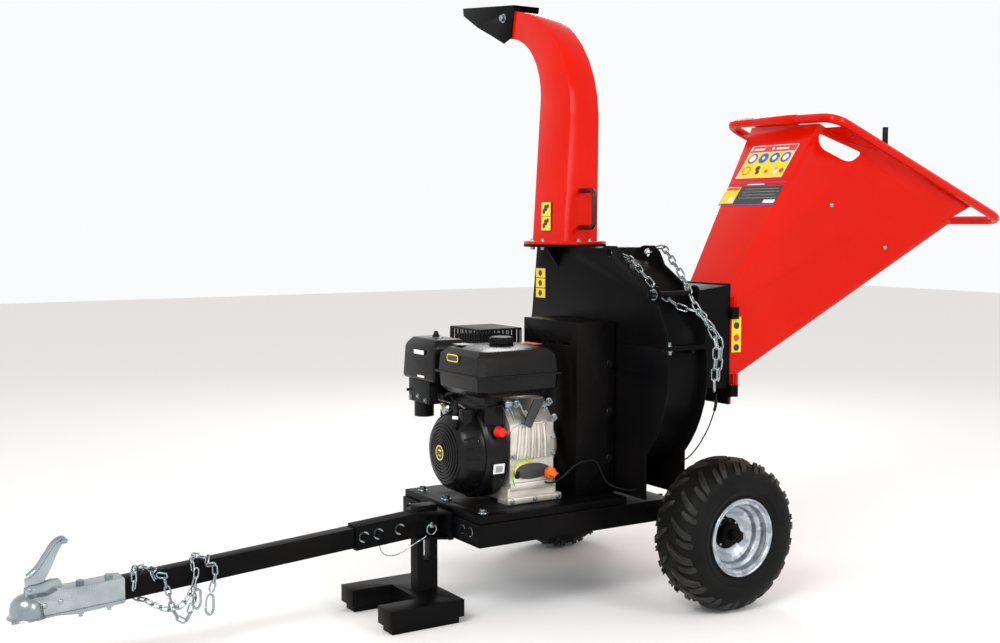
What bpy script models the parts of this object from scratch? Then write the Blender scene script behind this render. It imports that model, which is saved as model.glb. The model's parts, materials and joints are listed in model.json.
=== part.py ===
"""Towed disc wood chipper: frame, wheels, engine, rotor housing, swing-away hopper and turning chute.

Metres, +Z up. +X points from the hitch to the feed hopper, -Y is the near (left-hand) side.
The origin is on the ground, under the axle, on the machine's centreline.
"""

from math import atan2, cos, hypot, pi, radians, sin, sqrt

import bmesh
import bpy
import numpy as np
from mathutils import Matrix, Vector

# ---------------------------------------------------------------- driving dimensions
GAP = 0.0003  # clearance left between touching pieces
FOOTPRINT_MIDDLE = (-0.2355, 0.1135, 0.0)  # middle of the footprint, from the wheels' and rotor's middle

AXLE_Z = 0.205
TRACK = 0.789  # between the tyres' middle planes
TYRE_R = 0.205
TYRE_W = 0.155
BEAD_R = 0.089
RIM_HALF = 0.0665  # from the wheel's middle plane to the rim's lips
RIM_LIP_R = 0.105
SPINDLE_R = 0.0125
HUB_OUT = 0.038  # the hub's reach outwards and inwards from the wheel's middle plane
HUB_IN = 0.030

FRAME_X = (-0.659, -0.032)
FRAME_HALF_Y = 0.210
FRAME_Z = (0.209, 0.268)
RAIL = 0.040
TRAY_TOP = 0.288

DRAWBAR_W = 0.040
DRAWBAR_H = 0.052
DRAWBAR_SLOPE = 0.0712
DRAWBAR_BOTTOM = 0.2155  # height of its underside where it leaves the stand's receiver
RECEIVER_X = (-0.745, -0.667)

CRANK = (0.0, 0.423)  # y, z of the engine's crankshaft
ROTOR = (-0.020, 0.620)  # y, z of the rotor shaft
DRIVE_PULLEY_R = 0.055
DRIVEN_PULLEY_R = 0.075
ROTOR_R = 0.270

PLATE_T = 0.005
HOUSING_X = (-0.170, -0.032)
HOUSING_C = (-0.020, 0.640)
HOUSING_R = 0.337
BAND_R = 0.302
SPLIT_Z = 0.705
NECK_TOP = 0.966

CHUTE_AXIS = (-0.130, 0.178)  # x, y of the axis that the chute turns on
RING_R = 0.1225

FLANGE_X = 0.187
HINGE = (0.200, -0.209)  # x, y of the hopper's lift-off hinges
KNUCKLE_Z = (0.761, 0.537)  # undersides of the two fixed knuckles
KNUCKLE_H = 0.034
KNUCKLE_R = 0.0080
PIN_R = 0.005

# ---------------------------------------------------------------- scene and materials
for old in list(bpy.data.objects):
    bpy.data.objects.remove(old, do_unlink=True)

PARTS = bpy.data.collections.new("wood_chipper")
HELPERS = bpy.data.collections.new("helpers")
bpy.context.scene.collection.children.link(PARTS)
bpy.context.scene.collection.children.link(HELPERS)


def material(name, colour, roughness, metallic=0.0):
    made = bpy.data.materials.new(name)
    made.use_nodes = True
    shader = made.node_tree.nodes["Principled BSDF"]
    shader.inputs["Base Color"].default_value = (*colour, 1.0)
    shader.inputs["Roughness"].default_value = roughness
    shader.inputs["Metallic"].default_value = metallic
    return made


BLACK = material("black_paint", (0.012, 0.012, 0.014), 0.35)
RED = material("red_paint", (0.75, 0.06, 0.02), 0.3)
ZINC = material("zinc_plate", (0.62, 0.63, 0.65), 0.3, 1.0)
GALVANISED = material("galvanised_steel", (0.6, 0.62, 0.65), 0.35, 1.0)
STEEL = material("bare_steel", (0.35, 0.35, 0.36), 0.4, 1.0)
CAST = material("cast_aluminium", (0.55, 0.56, 0.58), 0.5, 0.9)
TYRE = material("tyre_rubber", (0.02, 0.021, 0.022), 0.75)
RUBBER = material("black_rubber", (0.015, 0.015, 0.015), 0.65)
PLASTIC = material("black_plastic", (0.02, 0.02, 0.022), 0.45)
SHROUD = material("shroud_black", (0.014, 0.014, 0.017), 0.3)
ORANGE = material("orange_plastic", (0.85, 0.18, 0.02), 0.4)
RED_PLASTIC = material("red_plastic", (0.7, 0.03, 0.02), 0.4)
HEAT_BLACK = material("heat_black", (0.03, 0.03, 0.03), 0.6, 0.4)


# ---------------------------------------------------------------- shape helpers
def add(name, mesh, finish):
    obj = bpy.data.objects.new(name, mesh)
    mesh.materials.clear()
    mesh.materials.append(finish)
    PARTS.objects.link(obj)
    return obj


def from_bmesh(name, bm, finish):
    bmesh.ops.recalc_face_normals(bm, faces=bm.faces)
    if bm.calc_volume(signed=True) < 0:
        bmesh.ops.reverse_faces(bm, faces=bm.faces)
    mesh = bpy.data.meshes.new(name)
    bm.to_mesh(mesh)
    bm.free()
    return add(name, mesh, finish)


def box(name, low, high, finish):
    """An axis-aligned box between two corners."""
    bm = bmesh.new()
    bmesh.ops.create_cube(bm, size=1.0)
    low, high = Vector(low), Vector(high)
    bmesh.ops.scale(bm, vec=high - low, verts=bm.verts)
    bmesh.ops.translate(bm, vec=(low + high) / 2, verts=bm.verts)
    return from_bmesh(name, bm, finish)


def rod(name, start, end, radius, finish, sides=20, end_radius=None):
    """A cylinder or cone between two points."""
    start, end = Vector(start), Vector(end)
    bm = bmesh.new()
    far = radius if end_radius is None else end_radius
    bmesh.ops.create_cone(
        bm, cap_ends=True, segments=sides, radius1=radius, radius2=far, depth=(end - start).length
    )
    turn = Vector((0, 0, 1)).rotation_difference(end - start).to_matrix().to_4x4()
    bmesh.ops.transform(bm, matrix=Matrix.Translation((start + end) / 2) @ turn, verts=bm.verts)
    obj = from_bmesh(name, bm, finish)
    if sides > 8:
        smooth(obj)
    return obj


def smooth(obj, angle=35):
    obj.data.shade_smooth()
    obj.data.set_sharp_from_angle(angle=radians(angle))


def mesh_from_curve(name, curve, finish, matrix=None):
    """The curve's solid as a mesh with its caps welded on."""
    holder = bpy.data.objects.new(name + "_curve", curve)
    PARTS.objects.link(holder)
    bpy.context.view_layer.update()
    graph = bpy.context.evaluated_depsgraph_get()
    mesh = bpy.data.meshes.new_from_object(holder.evaluated_get(graph))
    bm = bmesh.new()
    bm.from_mesh(mesh)
    bmesh.ops.remove_doubles(bm, verts=bm.verts, dist=0.00001)
    if matrix is not None:
        bmesh.ops.transform(bm, matrix=matrix, verts=bm.verts)
    bpy.data.objects.remove(holder, do_unlink=True)
    return from_bmesh(name, bm, finish)


PLANES = {
    "X": Matrix(((0, 0, 1, 0), (1, 0, 0, 0), (0, 1, 0, 0), (0, 0, 0, 1))),  # outline in (y, z)
    "Y": Matrix(((1, 0, 0, 0), (0, 0, -1, 0), (0, 1, 0, 0), (0, 0, 0, 1))),  # outline in (x, z)
    "Z": Matrix.Identity(4),  # outline in (x, y)
}


def plate(name, outlines, span, axis, finish):
    """A flat outline, with any holes as further outlines, extruded along an axis over a span."""
    curve = bpy.data.curves.new(name, "CURVE")
    curve.dimensions = "2D"
    curve.fill_mode = "BOTH"
    curve.extrude = (span[1] - span[0]) / 2
    for points in outlines:
        spline = curve.splines.new("POLY")
        spline.points.add(len(points) - 1)
        for place, (u, v) in zip(spline.points, points):
            place.co = (u, v, 0, 1)
        spline.use_cyclic_u = True
    middle = (span[0] + span[1]) / 2
    shift = {"X": (middle, 0, 0), "Y": (0, middle, 0), "Z": (0, 0, middle)}[axis]
    return mesh_from_curve(name, curve, finish, Matrix.Translation(shift) @ PLANES[axis])


def tube(name, points, radius, finish, closed=False, resolution=2):
    """A round bar or pipe along points."""
    curve = bpy.data.curves.new(name, "CURVE")
    curve.dimensions = "3D"
    curve.bevel_depth = radius
    curve.bevel_resolution = resolution
    curve.use_fill_caps = not closed
    spline = curve.splines.new("POLY")
    spline.points.add(len(points) - 1)
    for place, point in zip(spline.points, points):
        place.co = (*point, 1)
    spline.use_cyclic_u = closed
    obj = mesh_from_curve(name, curve, finish)
    smooth(obj, 50)
    return obj


def turned(name, profile, centre, axis, finish, steps=32):
    """A profile of (radius, height), listed down the outer side, turned about an axis."""
    mesh = bpy.data.meshes.new(name)
    on_axis = profile[0][0] == 0
    edges = [(i, i + 1) for i in range(len(profile) - 1)]
    if not on_axis:
        edges.append((len(profile) - 1, 0))
    mesh.from_pydata([(r, 0, h) for r, h in profile], edges, [])
    obj = add(name, mesh, finish)
    screw = obj.modifiers.new("turn", "SCREW")
    screw.axis = "Z"
    screw.steps = screw.render_steps = steps
    screw.use_merge_vertices = True
    screw.merge_threshold = 0.00001
    screw.use_smooth_shade = True
    bpy.context.view_layer.update()
    graph = bpy.context.evaluated_depsgraph_get()
    solid = bpy.data.meshes.new_from_object(obj.evaluated_get(graph))
    bpy.data.objects.remove(obj, do_unlink=True)
    bm = bmesh.new()
    bm.from_mesh(solid)
    bmesh.ops.remove_doubles(bm, verts=bm.verts, dist=0.00001)
    facing = Vector((0, 0, 1)).rotation_difference(Vector(axis)).to_matrix().to_4x4()
    bmesh.ops.transform(bm, matrix=Matrix.Translation(centre) @ facing, verts=bm.verts)
    made = from_bmesh(name, bm, finish)
    smooth(made)
    return made


def loft(name, rings, finish):
    """A closed solid through rings of points, each with the same number of points."""
    bm = bmesh.new()
    rows = [[bm.verts.new(point) for point in ring] for ring in rings]
    count = len(rings[0])
    for lower, upper in zip(rows, rows[1:]):
        for i in range(count):
            j = (i + 1) % count
            bm.faces.new((lower[i], lower[j], upper[j], upper[i]))
    bm.faces.new(rows[0][::-1])
    bm.faces.new(rows[-1])
    return from_bmesh(name, bm, finish)


def combine(base, others, operation):
    for other in others:
        step = base.modifiers.new(operation.lower() + "_" + other.name, "BOOLEAN")
        step.operation = operation
        step.object = other
        PARTS.objects.unlink(other)
        HELPERS.objects.link(other)
        other.hide_render = True
        other.display_type = "WIRE"
    return base


def unite(base, *others):
    return combine(base, others, "UNION")


def cut(base, *others):
    return combine(base, others, "DIFFERENCE")


def pivot(obj, place):
    """Moves the object's origin to a point on its joint's axis, leaving its shape where it is."""
    obj.data.transform(Matrix.Translation(-Vector(place)))
    obj.location = place
    return obj


def hang_on(obj, place):
    """Hangs the object on an empty at a point on its joint's axis, leaving its shape where it is."""
    axis_point = bpy.data.objects.new(obj.name + "_axis", None)
    axis_point.location = place
    PARTS.objects.link(axis_point)
    obj.parent = axis_point
    obj.matrix_parent_inverse = Matrix.Translation(-Vector(place))


def hollow_box(name, low, high, wall, open_side, finish):
    """A box shell, open on one side: -x, +x, -y, +y, -z or +z."""
    shell = box(name, low, high, finish)
    inner_low = [v + wall for v in low]
    inner_high = [v - wall for v in high]
    axis = "xyz".index(open_side[1])
    if open_side[0] == "+":
        inner_high[axis] = high[axis] + wall
    else:
        inner_low[axis] = low[axis] - wall
    return cut(shell, box(name + "_inside", inner_low, inner_high, finish))


def bolt(name, place, direction, size, finish=ZINC, head=0.6):
    """A hexagon head standing on a face; size is across its corners."""
    way = Vector(direction).normalized()
    start = Vector(place) - way * 0.002
    return rod(name, start, Vector(place) + way * size * head, size / 2, finish, sides=6)


def arc(centre, radius, start, end, count):
    """Points on an arc, in degrees, both ends included."""
    steps = [radians(start + (end - start) * i / (count - 1)) for i in range(count)]
    return [(centre[0] + radius * cos(a), centre[1] + radius * sin(a)) for a in steps]


def drawbar_z(x):
    """Height of the drawbar's underside at x."""
    return DRAWBAR_BOTTOM + (x - RECEIVER_X[0]) * DRAWBAR_SLOPE


def mirrored(profile):
    """The same profile on the other side of the middle plane, in running order."""
    return [(radius, -height) for radius, height in reversed(profile)]


# ---------------------------------------------------------------- running gear
def make_wheel(side, sign):
    middle = sign * TRACK / 2
    half = TYRE_W / 2
    outward = (0, sign, 0)
    seat = RIM_HALF - GAP
    outside = [
        (BEAD_R + GAP, seat),
        (RIM_LIP_R + 0.0015, seat),
        (0.112, half * 0.93),
        (0.145, half),
        (0.175, half * 0.95),
        (0.196, half * 0.80),
        (TYRE_R, half * 0.55),
    ]
    inside = [
        (TYRE_R - 0.018, half * 0.45),
        (0.172, half * 0.76),
        (0.140, half * 0.84),
        (BEAD_R + GAP, half * 0.66),
    ]
    tyre = outside + mirrored(outside) + mirrored(inside) + inside
    turned("tyre_" + side, tyre, (0, middle, AXLE_Z), outward, TYRE, 28)
    outer_lip = [
        (RIM_LIP_R, RIM_HALF + 0.006),
        (RIM_LIP_R, RIM_HALF),
        (BEAD_R, RIM_HALF),
        (BEAD_R, half * 0.45),
        (0.070, half * 0.30),
    ]
    dish = [
        (0.086, 0.0015 - RIM_HALF),
        (0.086, -half * 0.44),
        (0.0675, -half * 0.32),
        (0.0675, 0.006),
        (0.0305, 0.006),
        (0.0305, 0.010),
        (0.055, 0.010),
        (0.0675, 0.018),
        (0.0675, half * 0.32),
        (0.086, half * 0.44),
        (0.086, RIM_HALF - 0.0015),
    ]
    turned("rim_" + side, outer_lip + mirrored(outer_lip) + dish, (0, middle, AXLE_Z), outward, GALVANISED, 28)
    hub = [
        (0.030, HUB_OUT),
        (0.030, -HUB_IN),
        (SPINDLE_R + GAP, -HUB_IN),
        (SPINDLE_R + GAP, HUB_OUT),
    ]
    turned("hub_" + side, hub, (0, middle, AXLE_Z), outward, BLACK, 24)
    for piece in ("tyre_", "rim_", "hub_"):
        pivot(bpy.data.objects[piece + side], (0, middle, AXLE_Z))


def make_axle():
    inner = TRACK / 2 - HUB_IN - GAP
    beam = box("axle_beam", (-0.020, -inner, AXLE_Z - 0.020), (0.020, inner, AXLE_Z + 0.020), BLACK)
    reach = TRACK / 2 + HUB_OUT + GAP
    nuts = [
        rod(f"axle_nut_{sign}", (0, sign * reach, AXLE_Z), (0, sign * (reach + 0.018), AXLE_Z), 0.0185, STEEL, 6)
        for sign in (-1, 1)
    ]
    spindle = rod("spindles", (0, -reach - 0.02, AXLE_Z), (0, reach + 0.02, AXLE_Z), SPINDLE_R, STEEL)
    brackets = [
        box(
            f"axle_bracket_{i}",
            (-0.0317, y - 0.004, 0.180),
            (-0.018, y + 0.004, FRAME_Z[1]),
            BLACK,
        )
        for i, y in enumerate((-0.15, 0.15))
    ]
    unite(beam, spindle, *nuts, *brackets)


# ---------------------------------------------------------------- frame, drawbar and stand
def make_frame():
    x0, x1 = FRAME_X
    y = FRAME_HALF_Y
    outer = [(x0, -y), (x1, -y), (x1, y), (x0, y)]

    def window(left, right):
        inner = y - RAIL
        return [(left, -inner), (right, -inner), (right, inner), (left, inner)]

    frame = plate(
        "chassis_frame",
        [outer, window(x0 + RAIL, -0.400), window(-0.360, -0.180)],
        FRAME_Z,
        "Z",
        BLACK,
    )
    bolts = [
        bolt(f"front_bolt_{i}", (x0, yy, 0.243), (-1, 0, 0), 0.022)
        for i, yy in enumerate((-0.165, -0.125, 0.125, 0.165))
    ]
    unite(frame, *bolts)


def make_engine_tray():
    low, high = (-0.654, -0.206, FRAME_Z[1] + GAP), (-0.186, 0.206, TRAY_TOP)
    tray = hollow_box("engine_tray", low, high, 0.004, "-z", BLACK)
    bolts = [
        bolt(f"tray_bolt_{i}", (x, y, TRAY_TOP), (0, 0, 1), 0.019)
        for i, (x, y) in enumerate(((-0.62, -0.165), (-0.62, 0.03), (-0.62, 0.165), (-0.33, 0.175)))
    ]
    unite(tray, *bolts)


def sloped_bar(name, x0, x1, half_width, below, above, finish):
    """A bar that follows the drawbar's slope, reaching below and above its underside line."""
    outline = [
        (x0, drawbar_z(x0) - below),
        (x1, drawbar_z(x1) - below),
        (x1, drawbar_z(x1) + above),
        (x0, drawbar_z(x0) + above),
    ]
    return plate(name, [outline], (-half_width, half_width), "Y", finish)


def make_drawbar():
    half = DRAWBAR_W / 2
    sloped_bar("drawbar", -1.660, RECEIVER_X[0] - GAP, half, 0, DRAWBAR_H, BLACK)
    x0, x1 = -0.915, RECEIVER_X[1]
    sleeve = sloped_bar("stand_receiver", x0, x1, half + 0.005, 0.006, DRAWBAR_H + 0.005, BLACK)
    bore = sloped_bar(
        "drawbar_bore", x0 - 0.01, RECEIVER_X[0], half + GAP, GAP, DRAWBAR_H + GAP, BLACK
    )
    head = plate(
        "receiver_head",
        [[(x1 - 0.001, -0.075), (x1 - 0.001, 0.075), (-0.745, 0.03), (-0.745, -0.03)]],
        (0.272, 0.278),
        "Z",
        BLACK,
    )
    foot = plate(
        "receiver_foot",
        [[(x1 - 0.001, -0.075), (x1 - 0.001, 0.075), (-0.745, 0.03), (-0.745, -0.03)]],
        (0.205, 0.211),
        "Z",
        BLACK,
    )
    back = box("receiver_back", (x1 - 0.006, -0.080, 0.205), (x1 + 0.0077, 0.080, 0.278), BLACK)
    bolts = [
        bolt(f"sleeve_bolt_{i}", (x, -half - 0.005, drawbar_z(x) + 0.026), (0, -1, 0), 0.024)
        for i, x in enumerate((-0.893, -0.852, -0.790))
    ]
    post_bore = box("post_bore", (-0.7353, -0.0203, 0.15), (-0.6747, 0.0203, 0.32), BLACK)
    pin_bore = rod("pin_bore", (-0.705, -0.05, 0.243), (-0.705, 0.05, 0.243), 0.0083, BLACK, 12)
    unite(sleeve, head, foot, back, *bolts)
    cut(sleeve, bore, post_bore, pin_bore)


def make_stand():
    post = box("stand_leg", (-0.735, -0.020, 0.055), (-0.675, 0.020, 0.290), BLACK)
    y = 0.147
    arm = 0.072
    outline = [(-0.880, -y), (-0.666, -y), (-0.666, y), (-0.880, y)]
    outline += [(-0.880, y - arm), (-0.765, y - arm), (-0.765, -y + arm), (-0.880, -y + arm)]
    upper = plate("stand_foot_top", [outline], (0.018, 0.063), "Z", BLACK)
    inset = 0.010
    lower = [
        (-0.870, -y + inset),
        (-0.676, -y + inset),
        (-0.676, y - inset),
        (-0.870, y - inset),
        (-0.870, y - arm + inset),
        (-0.755, y - arm + inset),
        (-0.755, -y + arm - inset),
        (-0.870, -y + arm - inset),
    ]
    sole = plate("stand_foot_sole", [lower], (0.0, 0.020), "Z", BLACK)
    slot = plate("leg_slot", [slot_outline(-0.705, 0.150, 0.246, 0.0115)], (-0.05, 0.05), "Y", BLACK)
    unite(post, upper, sole)
    cut(post, slot)
    pin = rod("stand_pin", (-0.705, -0.046, 0.243), (-0.705, 0.036, 0.243), 0.0075, ZINC, 12)
    grip = tube(
        "stand_pin_ring",
        [(-0.705 + 0.014 * cos(a), -0.043, 0.231 + 0.014 * sin(a)) for a in steps_round(14)],
        0.0022,
        ZINC,
        closed=True,
    )
    unite(pin, grip)
    pivot(pin, (-0.705, 0, 0.243))
    lanyard = [
        (-0.842, -0.012, 0.2000),
        (-0.841, -0.013, 0.190),
        (-0.832, -0.016, 0.176),
        (-0.815, -0.020, 0.170),
        (-0.795, -0.026, 0.173),
        (-0.772, -0.034, 0.186),
        (-0.750, -0.040, 0.200),
        (-0.730, -0.0455, 0.211),
        (-0.7235, -0.0462, 0.2165),
    ]
    tube("pin_lanyard", lanyard, 0.0013, ZINC)


def slot_outline(x, low, high, radius):
    """A slot with round ends, upright, about the middle line x."""
    return arc((x, high), radius, 0, 180, 9) + arc((x, low), radius, 180, 360, 9)


def steps_round(count):
    return [2 * pi * i / count for i in range(count)]


def make_coupler():
    """Pressed ball coupler that slides over the drawbar's end, with its clamp and lever."""
    def line(x, up):
        return (x, drawbar_z(x) + up)

    x_nose = -1.763
    outline = [
        line(-1.500, -0.002),
        line(-1.500, 0.058),
        line(-1.640, 0.058),
        line(-1.680, 0.066),
        line(-1.725, 0.062),
        line(-1.755, 0.044),
        line(x_nose, 0.022),
        line(x_nose, 0.003),
    ]
    body = plate("coupler_body", [outline], (-0.0275, 0.0275), "Y", ZINC)
    dome = turned(
        "coupler_dome",
        [(0, 0.2055), (0.022, 0.2), (0.038, 0.182), (0.041, 0.151), (0, 0.151)],
        (-1.716, 0, 0),
        (0, 0, 1),
        ZINC,
        20,
    )
    bore = sloped_bar("coupler_bore", -1.661, -1.45, 0.0203, 0.02, DRAWBAR_H + GAP, ZINC)
    socket = turned(
        "coupler_socket",
        [(0, 0.188), (0.018, 0.182), (0.0255, 0.168), (0.0262, 0.12), (0, 0.12)],
        (-1.716, 0, 0),
        (0, 0, 1),
        ZINC,
        20,
    )
    slot = box("lever_slot", (-1.724, -0.0075, 0.190), (-1.668, 0.0075, 0.24), ZINC)
    bolts = [
        bolt(f"coupler_bolt_{i}", (x, 0, drawbar_z(x) + 0.058), (0, 0, 1), 0.022)
        for i, x in enumerate((-1.535, -1.600))
    ]
    rivets = [
        rod(f"coupler_rivet_{i}", (x, -0.031, z), (x, 0.031, z), 0.007, ZINC, 10)
        for i, (x, z) in enumerate(((-1.675, drawbar_z(-1.675) + 0.04), (-1.56, 0.19)))
    ]
    unite(body, dome, *bolts, *rivets)
    cut(body, bore, socket, slot)
    pivot_at = (-1.712, 0, 0.208)
    lever = plate(
        "coupler_lever",
        [
            [
                (-1.720, 0.200),
                (-1.702, 0.200),
                (-1.672, 0.252),
                (-1.638, 0.308),
                (-1.626, 0.318),
                (-1.630, 0.326),
                (-1.646, 0.322),
                (-1.688, 0.268),
                (-1.722, 0.220),
            ]
        ],
        (-0.0065, 0.0065),
        "Y",
        ZINC,
    )
    hook = rod("lever_grip", (-1.638, -0.014, 0.318), (-1.638, 0.014, 0.318), 0.008, ZINC, 12)
    unite(lever, hook)
    pivot(lever, pivot_at)


# ---------------------------------------------------------------- engine
def make_engine():
    y, z = CRANK
    base = box("crankcase", (-0.515, -0.118, TRAY_TOP + 0.006), (-0.362, 0.110, 0.330), CAST)
    case = loft(
        "crankcase_body",
        [
            [(x, -0.112, 0.325), (x, 0.095, 0.325), (x, 0.110, 0.470), (x, 0.060, 0.560)]
            + [(x, -0.060, 0.560), (x, -0.112, 0.500)]
            for x in (-0.505, -0.366)
        ],
        CAST,
    )
    # the cylinder leans to the far side, with its head at the end
    cylinder = box("cylinder_block", (-0.495, 0.080, 0.400), (-0.370, 0.262, 0.560), CAST)
    boss = rod("output_boss", (-0.370, y, z), (-0.322, y, z), 0.060, CAST, 24)
    feet = [
        box(f"engine_foot_{i}", (x, yy, TRAY_TOP + GAP), (x + 0.035, yy + 0.05, 0.300), CAST)
        for i, (x, yy) in enumerate(
            ((-0.522, -0.128), (-0.385, -0.128), (-0.522, 0.075), (-0.385, 0.075))
        )
    ]
    bore = rod("crank_bore", (-0.60, y, z), (-0.30, y, z), 0.0143, CAST, 20)
    unite(base, case, cylinder, boss, *feet)
    cut(base, bore)

    shroud = turned(
        "fan_shroud",
        [
            (0.128, -0.5205),
            (0.128, -0.5720),
            (0.120, -0.5815),
            (0.105, -0.5815),
            (0.105, -0.5750),
            (0.121, -0.5650),
            (0.121, -0.5250),
            (0.070, -0.5250),
            (0.070, -0.5205),
        ][::-1],
        (0, y, z),
        (1, 0, 0),
        SHROUD,
        32,
    )
    top = hollow_box("shroud_top", (-0.576, -0.100, 0.470), (-0.5206, 0.090, 0.575), 0.004, "+x", SHROUD)
    middle = rod("shroud_middle", (-0.600, y, z), (-0.50, y, z), 0.1205, SHROUD, 32)
    cut(top, middle)
    unite(shroud, top)

    cover = turned(
        "recoil_cover",
        [
            (0.117, -0.5820),
            (0.115, -0.5960),
            (0.100, -0.6300),
            (0.086, -0.6420),
            (0.060, -0.6520),
            (0.018, -0.6560),
            (0.018, -0.6520),
            (0.058, -0.6480),
            (0.082, -0.6390),
            (0.096, -0.6280),
            (0.111, -0.5960),
            (0.112, -0.5820),
        ][::-1],
        (0, y, z),
        (1, 0, 0),
        SHROUD,
        32,
    )
    neck = box("rope_outlet", (-0.622, -0.070, 0.500), (-0.585, -0.042, 0.545), SHROUD)
    unite(cover, neck)
    handle = rod("recoil_handle", (-0.6355, -0.052, 0.552), (-0.6445, -0.060, 0.498), 0.0075, PLASTIC, 12)
    pivot(handle, (-0.640, -0.056, 0.525))

    tank = loft(
        "fuel_tank",
        [
            tank_ring(0.583, 0.020),
            tank_ring(0.600, 0.004),
            tank_ring(0.636, 0.002),
            tank_ring(0.6365, -0.008),
            tank_ring(0.6420, -0.008),
            tank_ring(0.6425, 0.0),
            tank_ring(0.688, 0.004),
            tank_ring(0.703, 0.020),
            tank_ring(0.710, 0.050),
        ],
        SHROUD,
    )
    tank_neck = rod("filler_neck", (-0.500, -0.060, 0.700), (-0.500, -0.060, 0.7125), 0.024, SHROUD, 20)
    unite(tank, tank_neck)
    cap = turned(
        "fuel_cap",
        [(0, 0.021), (0.030, 0.019), (0.034, 0.015), (0.034, 0.0), (0, 0.0)],
        (-0.500, -0.060, 0.7129),
        (0, 0, 1),
        PLASTIC,
        24,
    )
    pivot(cap, (-0.500, -0.060, 0.7129))

    cleaner = loft(
        "air_cleaner",
        [
            rectangle_ring(-0.630, -0.520, 0.078, 0.256, 0.600),
            rectangle_ring(-0.632, -0.518, 0.076, 0.258, 0.612),
            rectangle_ring(-0.628, -0.522, 0.080, 0.252, 0.696),
            rectangle_ring(-0.612, -0.536, 0.092, 0.236, 0.716),
        ],
        SHROUD,
    )
    knob = turned(
        "air_cleaner_knob",
        [(0, 0.018), (0.005, 0.018), (0.007, 0.010), (0.011, 0.004), (0.011, 0), (0, 0)],
        (-0.575, 0.165, 0.7163),
        (0, 0, 1),
        PLASTIC,
        12,
    )
    pivot(knob, (-0.575, 0.165, 0.7163))
    elbow = box("intake", (-0.622, 0.120, 0.535), (-0.540, 0.240, 0.5997), PLASTIC)
    bowl = rod("air_intake", (-0.592, 0.205, 0.492), (-0.592, 0.205, 0.54), 0.028, PLASTIC, 16)
    unite(elbow, bowl)

    carb = box("carburettor", (-0.545, 0.150, 0.505), (-0.5205, 0.190, 0.560), ZINC)
    float_bowl = rod("float_bowl", (-0.539, 0.170, 0.475), (-0.539, 0.170, 0.510), 0.018, ZINC, 16)
    unite(elbow, carb, float_bowl)


def rectangle_ring(x0, x1, y0, y1, z):
    return [(x0, y0, z), (x1, y0, z), (x1, y1, z), (x0, y1, z)]


def tank_ring(z, inset):
    """One level of the fuel tank: a rectangle with chamfered corners."""
    x0, x1 = -0.633 + inset, -0.378 - inset
    y0, y1 = -0.175 + inset, 0.064 - inset
    c = 0.018
    return [
        (x0 + c, y0, z),
        (x1 - c, y0, z),
        (x1, y0 + c, z),
        (x1, y1 - c, z),
        (x1 - c, y1, z),
        (x0 + c, y1, z),
        (x0, y1 - c, z),
        (x0, y0 + c, z),
    ]


def make_engine_controls():
    lever_pin = (-0.574, -0.010, 0.5755)
    throttle = box("throttle_lever", (-0.580, -0.014, 0.5758), (-0.534, -0.006, 0.5793), ZINC)
    pivot(throttle, lever_pin)

    choke = box("choke_lever", (-0.628, 0.2405, 0.560), (-0.590, 0.2445, 0.568), PLASTIC)
    pivot(choke, (-0.595, 0.2425, 0.564))

    switch = turned(
        "stop_switch",
        [(0, 0.024), (0.011, 0.024), (0.013, 0.006), (0.015, 0.0), (0, 0.0)],
        (-0.545, -0.1188, 0.487),
        (0, -1, 0),
        RED_PLASTIC,
        16,
    )
    pivot(switch, (-0.545, -0.1188, 0.487))
    filler = turned(
        "oil_filler_cap",
        [(0, 0.028), (0.010, 0.028), (0.016, 0.014), (0.016, 0.0), (0, 0.0)],
        (-0.385, -0.1183, 0.362),
        (0, -1, 0),
        ORANGE,
        16,
    )
    pivot(filler, (-0.385, -0.1183, 0.362))


def make_muffler():
    body = box("muffler", (-0.440, 0.150, 0.610), (-0.325, 0.285, 0.712), HEAT_BLACK)
    outlet = rod("muffler_outlet", (-0.38, 0.280, 0.645), (-0.38, 0.325, 0.645), 0.014, HEAT_BLACK, 12)
    stub = rod("muffler_pipe", (-0.43, 0.19, 0.5603), (-0.43, 0.19, 0.61), 0.018, HEAT_BLACK, 12)
    unite(body, outlet, stub)
    guard = hollow_box(
        "muffler_guard", (-0.455, 0.134, 0.665), (-0.309, 0.300, 0.735), 0.003, "-z", HEAT_BLACK
    )
    slots = [
        box(f"guard_slot_{i}", (-0.48, y, 0.690), (-0.30, y + 0.014, 0.722), HEAT_BLACK)
        for i, y in enumerate((0.145, 0.175, 0.205, 0.235, 0.265))
    ]
    cut(guard, *slots)


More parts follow.
